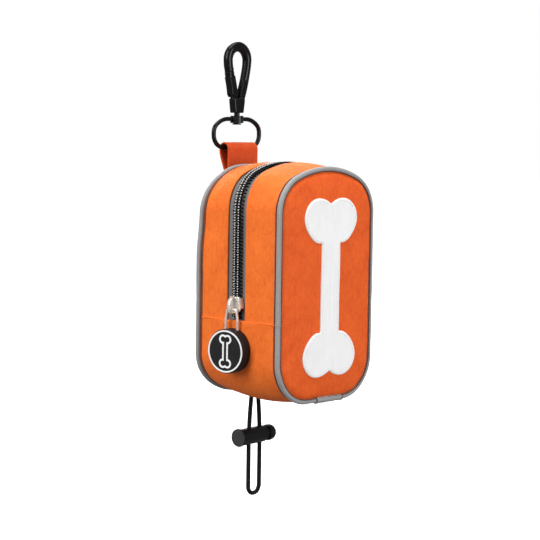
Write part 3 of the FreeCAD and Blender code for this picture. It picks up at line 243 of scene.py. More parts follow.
def coated_metal(name, colour, worn, roughness):
    """Satin coating over die-cast metal, a little orange-peeled, thinner along its edges."""
    shader = Shader(name, roughness, Coat_Weight=0.25, Coat_Roughness=0.1, Specular_IOR_Level=0.1)
    place = shader.place()
    cloud = shader.noise(place, 0.22, 4.0)
    edge = shader.node("NewGeometry", {}, "Pointiness")
    wear = shader.ramp(edge, 0.53, 0.62) * shader.ramp(cloud, 0.45, 0.65)
    shader.colour(wear * 0.5, colour, worn)
    shader.rough(shader.ramp(cloud, 0.3, 0.7, roughness - 0.06, roughness + 0.12))
    shader.bump(shader.noise(place, 1.6, 2.0), 0.05, 0.35)
    return shader.material


def bare_metal(name, light, dark, roughness=0.26, metallic=0.92):
    """Plated metal with fine draw marks and a few dull spots."""
    shader = Shader(name, roughness, Metallic=metallic)
    place = shader.place()
    fine = shader.noise(shader.vector("MULTIPLY", place, (6.0, 6.0, 1.2)), 1.0)
    shader.colour(shader.ramp(shader.noise(place, 0.5, 4.0), 0.3, 0.7), dark, light)
    shader.rough(shader.ramp(fine, 0.3, 0.7, roughness - 0.08, roughness + 0.14))
    shader.bump(fine, 0.02, 0.4)
    return shader.material


def grained(name, roughness, grain):
    """A moulded surface that is still to be coloured: its shader, fine grain and uneven shade."""
    shader = Shader(name, roughness, Specular_IOR_Level=0.2)
    place = shader.place()
    fine = shader.noise(place, grain, 2.0)
    shade = fine * 0.4 + shader.noise(place, 0.18, 4.0) * 0.6
    return shader, fine, shade


def moulded(name, light, dark, roughness=0.5, grain=3.0, depth=0.03):
    """Moulded rubber or plastic: a fine sparked grain, faint flow marks and uneven gloss."""
    shader, fine, shade = grained(name, roughness, grain)
    shader.colour(shader.ramp(shade, 0.3, 0.7), dark, light)
    shader.rough(shader.ramp(shade, 0.3, 0.7, roughness - 0.07, roughness + 0.1))
    shader.bump(fine, depth, 0.5)
    return shader.material


def toggle_finish_lit_end():
    """Gloss black plastic; the barrel's closed end, turned to the key light, is rougher and painted greyer as
    the light falling on it.
    """
    shader, fine, shade = grained("black_plastic", 0.36, 2.2)
    along = (math.cos(TOGGLE_YAW), math.sin(TOGGLE_YAW), 0.0)
    end = min(v.co.dot(Vector(along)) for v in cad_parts["toggle_barrel"].data.vertices) / MM
    # The end face turned to the key light: made rougher, and painted greyer as a painted highlight.
    face = shader.ramp(shader.vector("DOT_PRODUCT", shader.place(), along), end + 0.05, end + 0.3, 1.0, 0.0)
    tone = shader.ramp(shade, 0.3, 0.7)
    sleek = shader.mix(tone, (0.002, 0.002, 0.002), (0.004, 0.004, 0.0045))
    # The end face's grey, which paints the key light on it.
    rough = shader.mix(tone, (0.028, 0.028, 0.030), (0.050, 0.050, 0.053))
    shader.colour(face, sleek, rough)
    shader.rough(face * 0.25 + shader.ramp(shade, 0.3, 0.7, 0.3, 0.44))
    shader.bump(fine, 0.03, 0.5)
    return shader.material


def coated_cloth(name, light, dark):
    """Smooth white coated cloth: pebbled very finely, with soft creases whose hollows are painted a trace of
    grey as shade.
    """
    shader = Shader(name, 0.5, Sheen_Weight=0.05)
    cloth = shader.cloth()
    pebble = shader.noise(cloth, 1.9)
    crease = shader.noise(shader.vector("MULTIPLY", cloth, (1.0, 0.25, 1.0)), 0.32, 4.0, 0.6)
    # Colour darkens where the crease relief sinks: painted shade in the creases.
    shader.colour(shader.ramp(pebble * 0.3 + crease * 0.7, 0.28, 0.6), dark, light)
    shader.rough(shader.ramp(pebble, 0.3, 0.7, 0.45, 0.6))
    shader.bump(pebble, 0.04, 0.4)
    shader.bump(crease, 0.18, 0.25)
    return shader.material


def thread(name, light, dark):
    """Spun thread with its twist showing."""
    shader = Shader(name, 0.6, Sheen_Weight=0.3)
    place = shader.place()
    x, y, z = shader.split(place)
    lay = shader.wave(x + y + z, 0.45)
    shade = lay * 0.6 + shader.noise(place, 1.4) * 0.4
    shader.colour(shader.ramp(shade, 0.2, 0.8), dark, light)
    shader.bump(lay, 0.06, 0.6)
    return shader.material


def braided(name, light, dark):
    """A braided sheath: two sets of strands that cross."""
    shader = Shader(name, 0.7, Specular_IOR_Level=0.2)
    place = shader.place()
    x, y, z = shader.split(place)
    strand = shader.math("MAXIMUM", *(shader.wave((x + y) * lean + z, 1.15) for lean in (0.8, -0.8)))
    shade = shader.noise(place, 1.2) * 0.4 + strand * 0.6
    shader.colour(shader.ramp(shade, 0.3, 0.9), dark, light)
    shader.rough(shader.ramp(shade, 0.3, 0.9, 0.72, 0.5))
    shader.bump(strand, 0.16, 0.8)
    return shader.material


SIDE_CLOTH = woven("orange_fabric", (1.0, 0.225, 0.026), (0.72, 0.105, 0.010))
# The panels take the gussets' cloth painted deeper: painted shade for the faces turned from the key light.
SHADED_PANEL_CLOTH = woven("orange_panel_painted_shade", (0.98, 0.155, 0.018), (0.68, 0.075, 0.007))
# The strap takes the pouch's cloth painted darker and redder, as painted shade.
SHADED_STRAP_CLOTH = woven("orange_strap_painted_shade", (0.68, 0.092, 0.012), (0.48, 0.048, 0.006), pitch=0.6, hexed=False)
PIPING_CLOTH = tape_weave("grey_piping", (0.37, 0.365, 0.36), (0.25, 0.245, 0.24), 0.46)
TAPE = tape_weave("grey_tape", (0.22, 0.215, 0.21), (0.10, 0.097, 0.093))
BINDING = tape_weave("binding_tape", (0.12, 0.12, 0.12), (0.05, 0.05, 0.05))
BONE_FILM = coated_cloth("white_film", (0.95, 0.95, 0.94), (0.88, 0.88, 0.875))
HOOK_BLACK = coated_metal("black_metal", (0.003, 0.003, 0.0034), (0.03, 0.03, 0.03), 0.24)
STEEL = bare_metal("spring_steel", (0.62, 0.62, 0.63), (0.38, 0.38, 0.39))
PALE_METAL = bare_metal("pale_metal", (0.96, 0.93, 0.86), (0.70, 0.65, 0.56), 0.28, 0.6)
DISC_BLACK = moulded("black_rubber", (0.015, 0.015, 0.016), (0.007, 0.007, 0.008), 0.55)
INLAY_WHITE = moulded("white_rubber", (0.93, 0.93, 0.92), (0.82, 0.82, 0.81), 0.5)
TOGGLE_BLACK_LIT_END = toggle_finish_lit_end()
COIL_BLACK = moulded("black_coil", (0.005, 0.005, 0.0055), (0.002, 0.002, 0.002), 0.5, 2.0, 0.02)
CORD_BLACK = braided("black_cord", (0.006, 0.0057, 0.0055), (0.0015, 0.0015, 0.0015))
ORANGE_THREAD = thread("orange_thread", (0.80, 0.15, 0.02), (0.50, 0.07, 0.01))
WHITE_THREAD = thread("white_thread", (0.93, 0.93, 0.92), (0.80, 0.80, 0.79))
# Dark thread whose colour paints the shade in the seams' creases and along the piping lap's edges.
SEAM_SHADE_THREAD = thread("dark_thread_painted_shade", (0.13, 0.055, 0.035), (0.045, 0.02, 0.014))
GREY_THREAD = thread("grey_thread", (0.95, 0.94, 0.92), (0.78, 0.77, 0.75))


# ---------------------------------------------------------------- cord
def drawcord():
    """The cord's two legs hang from the hem, where they draw together, through the toggle to a loop."""
    leg = [(1.6, -163.6), (4.2, -177.0), (4.2, -212.3), (4.2, -215.5), (2.1, -217.9)]
    route = [(-x, z) for x, z in leg] + leg[::-1]
    curve = bpy.data.curves.new("cord", "CURVE")
    curve.dimensions = "3D"
    spline = curve.splines.new("NURBS")
    spline.points.add(len(route) - 1)
    for point, (x, z) in zip(spline.points, route):
        y = CORD_Y + x * math.sin(TOGGLE_YAW)
        point.co = (x * math.cos(TOGGLE_YAW) * MM, y * MM, z * MM, 1.0)
    spline.order_u = 3
    spline.use_endpoint_u = True
    curve.resolution_u = 24
    curve.bevel_depth = CORD_R * MM
    curve.bevel_resolution = 6
    curve.use_fill_caps = True
    curve.materials.append(CORD_BLACK)
    piece = new_object("cord", curve)
    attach(piece, "pouch")
    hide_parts("drawcord")


drawcord()


# ---------------------------------------------------------------- mesh kit
def face_outwards(mesh, cut=False):
    """Turns a mesh's faces outwards, after cutting them into triangles if asked."""
    work = bmesh.new()
    work.from_mesh(mesh)
    if cut:
        bmesh.ops.triangulate(work, faces=work.faces)
    bmesh.ops.recalc_face_normals(work, faces=work.faces)
    work.to_mesh(mesh)
    work.free()


def add_piece(name, points, faces, material, body, cloth=None, stands_for=()):
    """A mesh object from points in millimetres. cloth gives each point's place on the flat cloth."""
    mesh = bpy.data.meshes.new(name)
    mesh.from_pydata((np.asarray(points, float) * MM).tolist(), [], [list(f) for f in faces])
    if cloth is not None:
        values = np.zeros((len(points), 3), np.float32)
        values[:, :2] = cloth * MM
        mesh.attributes.new("cloth", "FLOAT_VECTOR", "POINT").data.foreach_set("vector", values.ravel())
    face_outwards(mesh)
    mesh.polygons.foreach_set("use_smooth", [True] * len(mesh.polygons))
    mesh.materials.append(material)
    piece = new_object(name, mesh)
    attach(piece, body)
    if stands_for:
        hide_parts(*stands_for)
    return piece


def smoothed(share):
    share = np.clip(share, 0, 1)
    return share * share * (3 - 2 * share)


def settle(points):
    """The filled pouch's own shape: top crowned, base sagging, back corners drawn in, shoulders sloping."""
    crown, sag, corner_rise, shoulder_drop, shoulder_narrowing = 3.0, 1.1, 2.1, 2.2, 0.055
    x, y, z = np.array(points, float).T
    between = np.sin(math.pi * np.clip((y - FRONT_Y) / (BACK_Y - FRONT_Y), 0, 1))
    top, base = smoothed((z + 82) / 24), smoothed((-148 - z) / 15)
    corner = smoothed((y + 50) / 44) * smoothed((-142 - z) / 22) * smoothed((np.abs(x) - 5) / 17)
    shoulder = smoothed((y + 30) / 22) * smoothed((z + 100) / 26) * smoothed((np.abs(x) - 8) / 20)
    rise = crown * between * top - sag * between * base + corner_rise * corner - shoulder_drop * shoulder
    return np.stack([x * (1 - shoulder_narrowing * shoulder), y, z + rise], 1)


def apply_modifiers(piece):
    graph = bpy.context.evaluated_depsgraph_get()
    graph.update()
    mesh = bpy.data.meshes.new_from_object(
        piece.evaluated_get(graph), preserve_all_data_layers=True, depsgraph=graph
    )
    piece.modifiers.clear()
    piece.data = mesh


def subdivide(piece):
    modifier = piece.modifiers.new("subdivide", "SUBSURF")
    modifier.levels = modifier.render_levels = 1


def bevel(piece, width):
    modifier = piece.modifiers.new("bevel", "BEVEL")
    modifier.width = width * MM
    modifier.segments = 3
    modifier.limit_method = "ANGLE"
    modifier.angle_limit = math.radians(35.0)


def grid_faces(rows, columns, wrap_rows=False, wrap_columns=False):
    faces = []
    for i in range(rows if wrap_rows else rows - 1):
        for j in range(columns if wrap_columns else columns - 1):
            k, l = (i + 1) % rows, (j + 1) % columns
            faces.append((i * columns + j, i * columns + l, k * columns + l, k * columns + j))
    return faces


def ring_faces(rings, sides, closed=False):
    """Faces of a row of rings, with a cap at each end unless the row closes on itself."""
    caps = [] if closed else [tuple(range(sides)), tuple(range((rings - 1) * sides, rings * sides))]
    return grid_faces(rings, sides, closed, True) + caps


def unit(vectors):
    """The rows of an array, each at length 1."""
    return vectors / np.linalg.norm(vectors, axis=1)[:, None]


def length_along(path):
    """The length of a path up to each of its points."""
    return np.concatenate([[0], np.cumsum(np.linalg.norm(np.diff(path, axis=0), axis=1))])


def sample(at, length, values):
    """A path's values at some lengths along it."""
    return np.stack([np.interp(at, length, column) for column in values.T], -1)


def gap_to(edge, points):
    """Each point's distance from the nearest point of an edge."""
    return np.array([np.min(np.hypot(*(edge - p).T)) for p in points])


def tube(path, radius, sides=12, closed=False, up=(0.0, 1.0, 0.0)):
    """Points and faces of a round tube along a path. radius is one number or one for each point."""
    path = np.asarray(path, float)
    radius = np.broadcast_to(np.asarray(radius, float), (len(path),))
    along = unit(np.roll(path, -1, 0) - np.roll(path, 1, 0) if closed else np.gradient(path, axis=0))
    side = np.cross(np.array(up), along)
    side /= np.maximum(np.linalg.norm(side, axis=1)[:, None], 1e-9)
    third = np.cross(along, side)
    angles = np.linspace(0, 2 * math.pi, sides, endpoint=False)[:, None]
    ring = np.cos(angles) * side[:, None] + np.sin(angles) * third[:, None]
    points = path[:, None] + ring * radius[:, None, None]
    return points.reshape(-1, 3), ring_faces(len(path), sides, closed)


def merge(parts):
    """Several (points, faces) as one."""
    points, faces, base = [], [], 0
    for p, f in parts:
        points.append(np.asarray(p, float))
        faces += [tuple(i + base for i in face) for face in f]
        base += len(p)
    return np.concatenate(points), faces


def fuse(name, parts, voxel, rounds, cut=False):
    """Several closed forms joined into one smooth skin: its points and faces, in millimetres."""
    points, faces = merge(parts)
    mesh = bpy.data.meshes.new(name)
    mesh.from_pydata((points * MM).tolist(), [], faces)
    face_outwards(mesh, cut)
    rough = new_object(name, mesh)
    remesh = rough.modifiers.new("remesh", "REMESH")
    remesh.mode = "VOXEL"
    remesh.voxel_size = voxel * MM
    smooth = rough.modifiers.new("smooth", "SMOOTH")
    smooth.factor, smooth.iterations = 0.5, rounds
    apply_modifiers(rough)
    skin = np.empty(len(rough.data.vertices) * 3)
    rough.data.vertices.foreach_get("co", skin)
    faces = [tuple(p.vertices) for p in rough.data.polygons]
    bpy.data.objects.remove(rough)
    return skin.reshape(-1, 3) / MM, faces


def tube_cloth(length, sides, girth):
    """Cloth places of a tube's points: round it and along it."""
    return np.stack([np.tile(np.linspace(0, girth, sides), len(length)), np.repeat(length, sides)], 1)


def ease(values, count):
    """A smooth curve of count points through control values, with equal steps."""
    values = np.asarray(values, float)
    segments = []
    padded = np.vstack([2 * values[0] - values[1], values, 2 * values[-1] - values[-2]])
    t = np.linspace(0, 1, 24, endpoint=False)[:, None]
    for a, b, c, d in zip(padded, padded[1:], padded[2:], padded[3:]):
        segments.append(
            0.5 * (2 * b + (c - a) * t + (2 * a - 5 * b + 4 * c - d) * t**2 + (3 * b - a - 3 * c + d) * t**3)
        )
    curve = np.vstack(segments + [values[-1:]])
    length = length_along(curve)
    return sample(np.linspace(0, length[-1], count), length, curve)


# ---------------------------------------------------------------- the pouch's outline
shoulder_x = HALF_WIDTH - SHOULDER_R
shoulder_rise = math.sqrt((CROWN_R - SHOULDER_R) ** 2 - shoulder_x**2)
crown_z = TALL - CROWN_R
shoulder_z = crown_z + shoulder_rise
shoulder_angle = math.atan2(shoulder_rise, shoulder_x)
base_x = HALF_WIDTH - BASE_R


class Run:
    """Points (x, z) along part of the outline, their outward normals and the length so far."""

    def __init__(self, pieces, step, closed=False):
        points, normals = [], []
        for kind, *facts in pieces:
            if kind == "line":
                start, end, normal = (np.array(fact, float) for fact in facts)
                count = max(2, int(round(np.linalg.norm(end - start) / step)))
                points.append(start + (end - start) * np.arange(count)[:, None] / count)
                normals.append(np.tile(normal, (count, 1)))
            else:
                centre, radius, first, final = facts
                count = max(3, int(round(abs(final - first) * radius / step)))
                angles = first + (final - first) * np.arange(count) / count
                normals.append(np.stack([np.cos(angles), np.sin(angles)], 1))
                points.append(np.array(centre) + radius * normals[-1])
                normal = np.array([math.cos(final), math.sin(final)])
                end = np.array(centre) + radius * normal
        if not closed:
            points.append(end[None])
            normals.append(normal[None])
        self.points = np.concatenate(points) - [0, DROP]
        self.normals = np.concatenate(normals)
        self.outward = np.insert(self.normals, 1, 0.0, axis=1)
        self.length = length_along(self.points)
        self.closed = closed

    def at(self, y, inset):
        """Points of the run at a depth y and an inset; y may be one number or one for each point."""
        flat = self.points - self.normals * inset
        return np.stack([flat[:, 0], np.broadcast_to(y, len(flat)), flat[:, 1]], 1)

    def loft(self, profile):
        """Points, faces and cloth places of a closed profile carried along the run. The profile has
        a row for each point of the run, of places (y, inset)."""
        flat = self.points[:, None] - self.normals[:, None] * profile[..., 1:]
        points = np.stack([flat[..., 0], profile[..., 0], flat[..., 1]], 2)
        rows, columns = points.shape[:2]
        cloth = np.stack([profile[..., 0], np.broadcast_to(self.length[:, None], (rows, columns))], 2)
        return points.reshape(-1, 3), ring_faces(rows, columns, self.closed), cloth.reshape(-1, 2)


def arch_pieces(low):
    return [
        ("line", (-HALF_WIDTH, low), (-HALF_WIDTH, shoulder_z), (-1, 0)),
        ("arc", (-shoulder_x, shoulder_z), SHOULDER_R, math.pi, math.pi - shoulder_angle),
        ("arc", (0, crown_z), CROWN_R, math.pi - shoulder_angle, shoulder_angle),
        ("arc", (shoulder_x, shoulder_z), SHOULDER_R, shoulder_angle, 0.0),
        ("line", (HALF_WIDTH, shoulder_z), (HALF_WIDTH, low), (1, 0)),
    ]


def base_pieces(high):
    return [
        ("line", (HALF_WIDTH, high), (HALF_WIDTH, BASE_R), (1, 0)),
        ("arc", (base_x, BASE_R), BASE_R, 0.0, -math.pi / 2),
        ("line", (base_x, 0), (-base_x, 0), (0, -1)),
        ("arc", (-base_x, BASE_R), BASE_R, -math.pi / 2, -math.pi),
        ("line", (-HALF_WIDTH, BASE_R), (-HALF_WIDTH, high), (-1, 0)),
    ]


ARCH = Run(arch_pieces(SEAM - 1.2), 1.1)
BASE = Run(base_pieces(SEAM + 0.3), 1.1)
WHOLE = Run(arch_pieces(SEAM) + base_pieces(SEAM), 0.8, closed=True)


def ripple(values, seed, scale):
    """A smooth uneven wave from -1 to 1 along a length."""
    return np.array([noise.noise(Vector((v * scale, seed * 7.3, 0.5))) for v in values])


def mottle(flat, across, seed, along):
    """A smooth uneven wave from -1 to 1 over flat places."""
    return np.array([noise.noise(Vector((x * across, seed, z * along))) for x, z in flat])


# ---------------------------------------------------------------- cloth under pressure
def swell(points, faces, held, cap):
    """The sheet's points after its held points stay and air pushes it out along its normals."""
    scene = bpy.context.scene
    mesh = bpy.data.meshes.new("sheet")
    mesh.from_pydata((points * MM).tolist(), [], faces)
    sheet = new_object("sheet", mesh)
    group = sheet.vertex_groups.new(name="held")
    group.add([int(i) for i in np.flatnonzero(held)], 1.0, "REPLACE")
    cloth = sheet.modifiers.new("cloth", "CLOTH")
    cloth.settings.effector_weights.gravity = 0.0
    for key, value in {
        "quality": 6, "mass": 0.02, "tension_stiffness": 12.0, "compression_stiffness": 12.0,
        "shear_stiffness": 4.0, "bending_stiffness": 0.05, "vertex_group_mass": "held",
        "use_pressure": True, "uniform_pressure_force": 4.0,
    }.items():
        setattr(cloth.settings, key, value)
    cloth.collision_settings.use_collision = False
    cloth.collision_settings.use_self_collision = False
    last_frame = 20
    cloth.point_cache.frame_start, cloth.point_cache.frame_end = 1, last_frame
    for number in range(1, last_frame + 1):
        scene.frame_set(number)
    result = sheet.evaluated_get(bpy.context.evaluated_depsgraph_get()).to_mesh()
    moved = np.empty(len(points) * 3)
    result.vertices.foreach_get("co", moved)
    moved = moved.reshape(-1, 3) / MM - points
    size = np.linalg.norm(moved, axis=1)
    print(f"swell: moved {size.mean():.3f} mm on average, {size.max():.3f} at most")
    moved *= np.minimum(1.0, cap / np.maximum(size, 1e-9))[:, None]
    bpy.data.objects.remove(sheet)
    scene.frame_set(1)
    return points + moved


# ---------------------------------------------------------------- gussets
def cloth_strip(name, run, low_y, high_y, crown, stands_for, hem_low=False, hem_high=False, lift=0.0, seed=1):
    """A gusset: outer cloth that crowns between its edges, tucked at a piping and folded at a hem."""
    wide, rows, thick = high_y - low_y, len(run.points), 1.15
    share = np.linspace(0, 1, 25)
    y = low_y + wide * share
    bow = np.sin(math.pi * share)
    edges = ((hem_low, wide * share), (hem_high, wide * (1 - share)))
    inset = 0.25 - lift - crown * bow**0.75
    for hem, near in edges:
        inset = inset + (0.28 * np.exp(-((near / 1.1) ** 2)) if hem else 1.1 * np.exp(-near))
    sheet = np.stack([run.at(value, d) for value, d in zip(y, inset)], 1)
    flat = sheet.reshape(-1, 3)
    faces = grid_faces(rows, len(y))
    held = np.ones((rows, len(y)), bool)
    held[2:-2, 2:-2] = False
    a, b, c = (flat[faces[len(faces) // 3][k]] for k in range(3))
    if np.dot(np.cross(b - a, c - a), (a + c) / 2 - flat.mean(0)) < 0:
        faces = [face[::-1] for face in faces]
    swollen = swell(flat, faces, held.ravel(), 0.9).reshape(sheet.shape)
    push = ((swollen - sheet) * run.outward[:, None]).sum(2)
    uneven = ripple(run.length, seed, 0.07)[:, None] * bow * 0.28
    for hem, near in edges:
        pucker = ripple(run.length, seed + 3, 0.33 if hem else 0.24)[:, None]
        uneven += pucker * np.exp(-near / (1.6 if hem else 3.2)) * (0.16 if hem else 0.22)
    outer = inset - push - uneven

    def profile_of(values, insets):
        return np.stack([np.broadcast_to(values, insets.shape), insets], 2)

    turn = np.linspace(0, math.pi, 7)[1:-1]
    ends = []
    for hem, edge, way, angles in ((hem_high, -1, 1, turn), (hem_low, 0, -1, turn[::-1])):
        bulge = 0.75 if hem else 0.2
        around = outer[:, edge, None] + thick / 2 * (1 - np.cos(angles))
        ends.append(profile_of(y[edge] + way * bulge * np.sin(angles), around))
    inner = profile_of(y[::-1], outer[:, ::-1] + thick)
    points, faces, cloth = run.loft(np.concatenate([profile_of(y, outer), ends[0], inner, ends[1]], 1))
    subdivide(add_piece(name, settle(points), faces, SIDE_CLOTH, "pouch", cloth, stands_for))


FRONT_EDGE, BACK_EDGE = FRONT_Y + 0.5, BACK_Y - 0.5
FRONT_HEM, BACK_HEM = ZIP_Y - ZIP_HALF + 0.2, ZIP_Y + ZIP_HALF + 1.5
cloth_strip("gusset_front", ARCH, FRONT_EDGE, FRONT_HEM, 0.55, ["zip_gusset_front"], hem_high=True, seed=2)
cloth_strip("gusset_back", ARCH, BACK_HEM, BACK_EDGE, 0.55, ["zip_gusset_back"], hem_low=True, seed=5)
cloth_strip("gusset_base", BASE, FRONT_EDGE, BACK_EDGE, 1.0, ["base_gusset"], lift=0.3, seed=9)


def seam_roll(name, side):
    """The base gusset's folded edge, which lies over the arch's end as a soft roll from piping to piping."""
    y = np.linspace(FRONT_Y + 1.3, BACK_Y - 2.0, 41)
    share = (y - FRONT_Y) / (BACK_Y - FRONT_Y)
    inset = 0.1 - 0.75 * np.sin(math.pi * share) ** 0.75
    wave = ripple(y, 31 + side, 0.09)
    path = np.stack([side * (HALF_WIDTH - inset - 0.12), y, SEAM - DROP + 0.35 * wave], 1)
    ends = np.clip(np.minimum(y - y[0], y[-1] - y) / 2.0, 0.25, 1)
    points, faces = tube(path, (0.62 + 0.08 * ripple(y, 35 + side, 0.2)) * ends)
    cloth = tube_cloth(y, 12, 3.9)
    subdivide(add_piece(name, points, faces, SIDE_CLOTH, "pouch", cloth))


seam_roll("seam_fold_left", -1)
seam_roll("seam_fold_right", 1)


# ---------------------------------------------------------------- padded panels
def corner_lengths():
    """Where the outline's four corners lie along it: bottom right, top right, top left, bottom left."""
    lengths = []
    for angle, centre in (
        (-math.pi / 4, (base_x, BASE_R)),
        (shoulder_angle / 2, (shoulder_x, shoulder_z)),
        (math.pi - shoulder_angle / 2, (-shoulder_x, shoulder_z)),
        (-3 * math.pi / 4, (-base_x, BASE_R)),
    ):
        radius = BASE_R if angle < 0 else SHOULDER_R
        point = np.array(centre) + radius * np.array([math.cos(angle), math.sin(angle)]) - [0, DROP]
        lengths.append(WHOLE.length[np.argmin(np.linalg.norm(WHOLE.points - point, axis=1))])
    return lengths


def outline_grid(cells, inset):
    """A square grid of points drawn out to the outline, with each point's distance from the edge."""
    total = WHOLE.length[-1] + np.linalg.norm(WHOLE.points[0] - WHOLE.points[-1])
    se, ne, nw, sw = corner_lengths()
    edge = WHOLE.points - WHOLE.normals * inset
    loop, loop_length = np.vstack([edge, edge[:1]]), np.append(WHOLE.length, total)
    centre = np.array([0.0, 54.0 - DROP])
    points, lengths = np.zeros((cells + 1, cells + 1, 2)), np.zeros((cells + 1, cells + 1))
    for i in range(cells + 1):
        for j in range(cells + 1):
            u, v = 2 * i / cells - 1, 2 * j / cells - 1
            size = max(abs(u), abs(v))
            if size < 1e-9:
                points[i, j] = centre
                continue
            a, b = u / size, v / size
            if abs(a) >= abs(b):
                start, end = (se, ne) if a > 0 else (sw, nw)
                share = (b + 1) / 2
            else:
                start, end = (nw, ne) if b > 0 else (sw, se)
                share = (a + 1) / 2
            shorter_way = np.mod(end - start + total / 2, total) - total / 2
            lengths[i, j] = np.mod(start + shorter_way * share, total)
            spot = sample(lengths[i, j], loop_length, loop)
            points[i, j] = centre + (spot - centre) * (1 - (1 - size) ** 1.12)
    flat = points.reshape(-1, 2)
    return flat, gap_to(edge, flat), lengths.ravel()


def padded_panel(name, side, plane, stands_for, seed):
    """A panel that crowns out of its piping. side is -1 for the front and +1 for the back."""
    cells = 64
    size = cells + 1
    flat, near, length = outline_grid(cells, 0.55)
    rise = 2.75 * (1 - np.exp(-near / 2.3)) - 0.55 * np.exp(-near / 0.6)
    sheet = np.stack([flat[:, 0], plane + side * rise, flat[:, 1]], 1)
    faces = grid_faces(size, size)
    a, b, c = (sheet[faces[5][k]] for k in range(3))
    if np.cross(b - a, c - a)[1] * side < 0:
        faces = [face[::-1] for face in faces]
    swollen = swell(sheet, faces, near < 1.6, 0.4)
    push = (swollen - sheet)[:, 1] * side
    fade = np.exp(-near / 4.5) * (1 - np.exp(-near / 0.7))
    gather = ripple(length, seed, 0.21) * fade * 0.55
    slow = mottle(flat, 0.035, seed, 0.035)
    push = push + gather + slow * 0.4 * (1 - np.exp(-near / 8)) - 0.25
    outside = sheet.copy()
    outside[:, 1] += side * push
    inside = sheet.copy()
    inside[:, 1] = plane + side * np.minimum(rise - 0.9, 0.6)
    count = len(outside)
    border = (
        [i * size for i in range(size)]
        + [cells * size + j for j in range(1, size)]
        + [i * size + cells for i in range(cells - 1, -1, -1)]
        + [j for j in range(cells - 1, 0, -1)]
    )
    faces = faces + [tuple(i + count for i in face[::-1]) for face in faces]
    for first, second in zip(border, border[1:] + border[:1]):
        faces.append((first, second, second + count, first + count))
    points = settle(np.concatenate([outside, inside]))
    cloth = np.concatenate([flat, flat])
    piece = add_piece(name, points, faces, SHADED_PANEL_CLOTH, "pouch", cloth, stands_for)
    subdivide(piece)
    return piece


front_panel = padded_panel("panel_front", -1, FRONT_Y, ["front_panel"], 11)
padded_panel("panel_back", 1, BACK_Y, ["back_panel"], 23)


# ---------------------------------------------------------------- piping and bindings
def piping(name, plane, stands_for, seed):
    """Tape wrapped round a filler cord, pulled a little uneven by its seam."""
    uneven = 1 + ripple(WHOLE.length, seed + 2, 0.3) * 0.045
    path = WHOLE.at(plane + ripple(WHOLE.length, seed, 0.12) * 0.12, 0.0)
    points, faces = tube(settle(path), PIPING_R * uneven, PIPING_SIDES, closed=True)
    cloth = tube_cloth(WHOLE.length, PIPING_SIDES, PIPING_GIRTH)
    subdivide(add_piece(name, points, faces, PIPING_CLOTH, "pouch", cloth, stands_for))


piping("piping_front", FRONT_Y, ["front_piping", "front_piping_core"], 3)
piping("piping_back", BACK_Y, ["back_piping", "back_piping_core"], 8)


def piping_join():
    """The tape's lap where the front piping's ends meet: a wrap with turned edges, fatter at one end, each
    edge lined with a thin dark ring of painted shade.
    """
    count, left, right, edge_radius = 31, -6.0, 12.0, 1.66
    xs, share = np.linspace(left, right, count), np.linspace(0, 1, count)
    path = np.stack([xs, np.full(count, FRONT_Y), np.full(count, -DROP)], 1)
    radius = 1.72 - 0.12 * share + 0.05 * np.sin(share * 23)
    path[1, 0], path[-2, 0] = left + 0.15, right - 0.15
    points, faces = tube(path, radius, PIPING_SIDES)
    cloth = tube_cloth(xs, PIPING_SIDES, PIPING_GIRTH)
    subdivide(add_piece(
        "piping_lap", points, faces, PIPING_CLOTH, "pouch", cloth, ["front_piping_join"]
    ))
    # A thin dark ring at each end of the lap: painted shade along its edge.
    angles = np.linspace(0, 2 * math.pi, 28, endpoint=False)
    y, z = FRONT_Y + edge_radius * np.cos(angles), 0.05 - DROP + edge_radius * np.sin(angles)
    for number, x in enumerate((left + 0.1, right - 0.1)):
        points, faces = tube(np.stack([np.full(28, x), y, z], 1), 0.14, 8, closed=True, up=(1.0, 0.0, 0.0))
        add_piece(f"piping_lap_edge_{number}", points, faces, SEAM_SHADE_THREAD, "pouch")


piping_join()


def flat_band(name, run, low_y, high_y, inset, thick, material, stands_for, wave=0.0, seed=1):
    """A tape that lies flat along the outline, with rounded selvedges."""
    half = thick / 2
    y = np.linspace(low_y, high_y, 9)
    corner = np.linspace(0, math.pi, 5)[1:-1]
    top = [(value, inset) for value in y]
    right = [(high_y + half * math.sin(a), inset + half - half * math.cos(a)) for a in corner]
    under = [(value, inset + thick) for value in y[::-1]]
    left = [(low_y - half * math.sin(a), inset + half + half * math.cos(a)) for a in corner]
    profile = np.broadcast_to(np.array(top + right + under + left), (len(run.points), 24, 2)).copy()
    profile[..., 1] += (ripple(run.length, seed, 0.15) * wave)[:, None]
    points, faces, cloth = run.loft(profile)
    add_piece(name, settle(points), faces, material, "pouch", cloth, stands_for)


for side, low, high, seed in (("front", -13.0, -0.75, 4), ("back", 0.75, 13.0, 6)):
    flat_band(
        f"tape_{side}", ARCH, ZIP_Y + low, ZIP_Y + high, 1.75, 0.5, TAPE, [f"zip_tape_{side}"],
        0.08, seed,
    )
for side, low, high in (("front", FRONT_Y + 1.4, FRONT_Y + 6.2), ("back", BACK_Y - 6.2, BACK_Y - 1.4)):
    flat_band(f"binding_{side}", WHOLE, low, high, 1.95, 1.0, BINDING, [f"{side}_seam_binding"])


# ---------------------------------------------------------------- zip chain
COIL_PITCH = 1.7
CHAIN = Run(arch_pieces(SEAM + 0.8), 0.25)


def chain_point(length, y, inset):
    """Points above the chain's run at lengths along it, with insets of their own."""
    flat = sample(length, CHAIN.length, CHAIN.points)
    flat -= sample(length, CHAIN.length, CHAIN.normals) * np.reshape(inset, (-1, 1))
    return np.stack([flat[:, 0], np.broadcast_to(y, len(flat)), flat[:, 1]], 1)


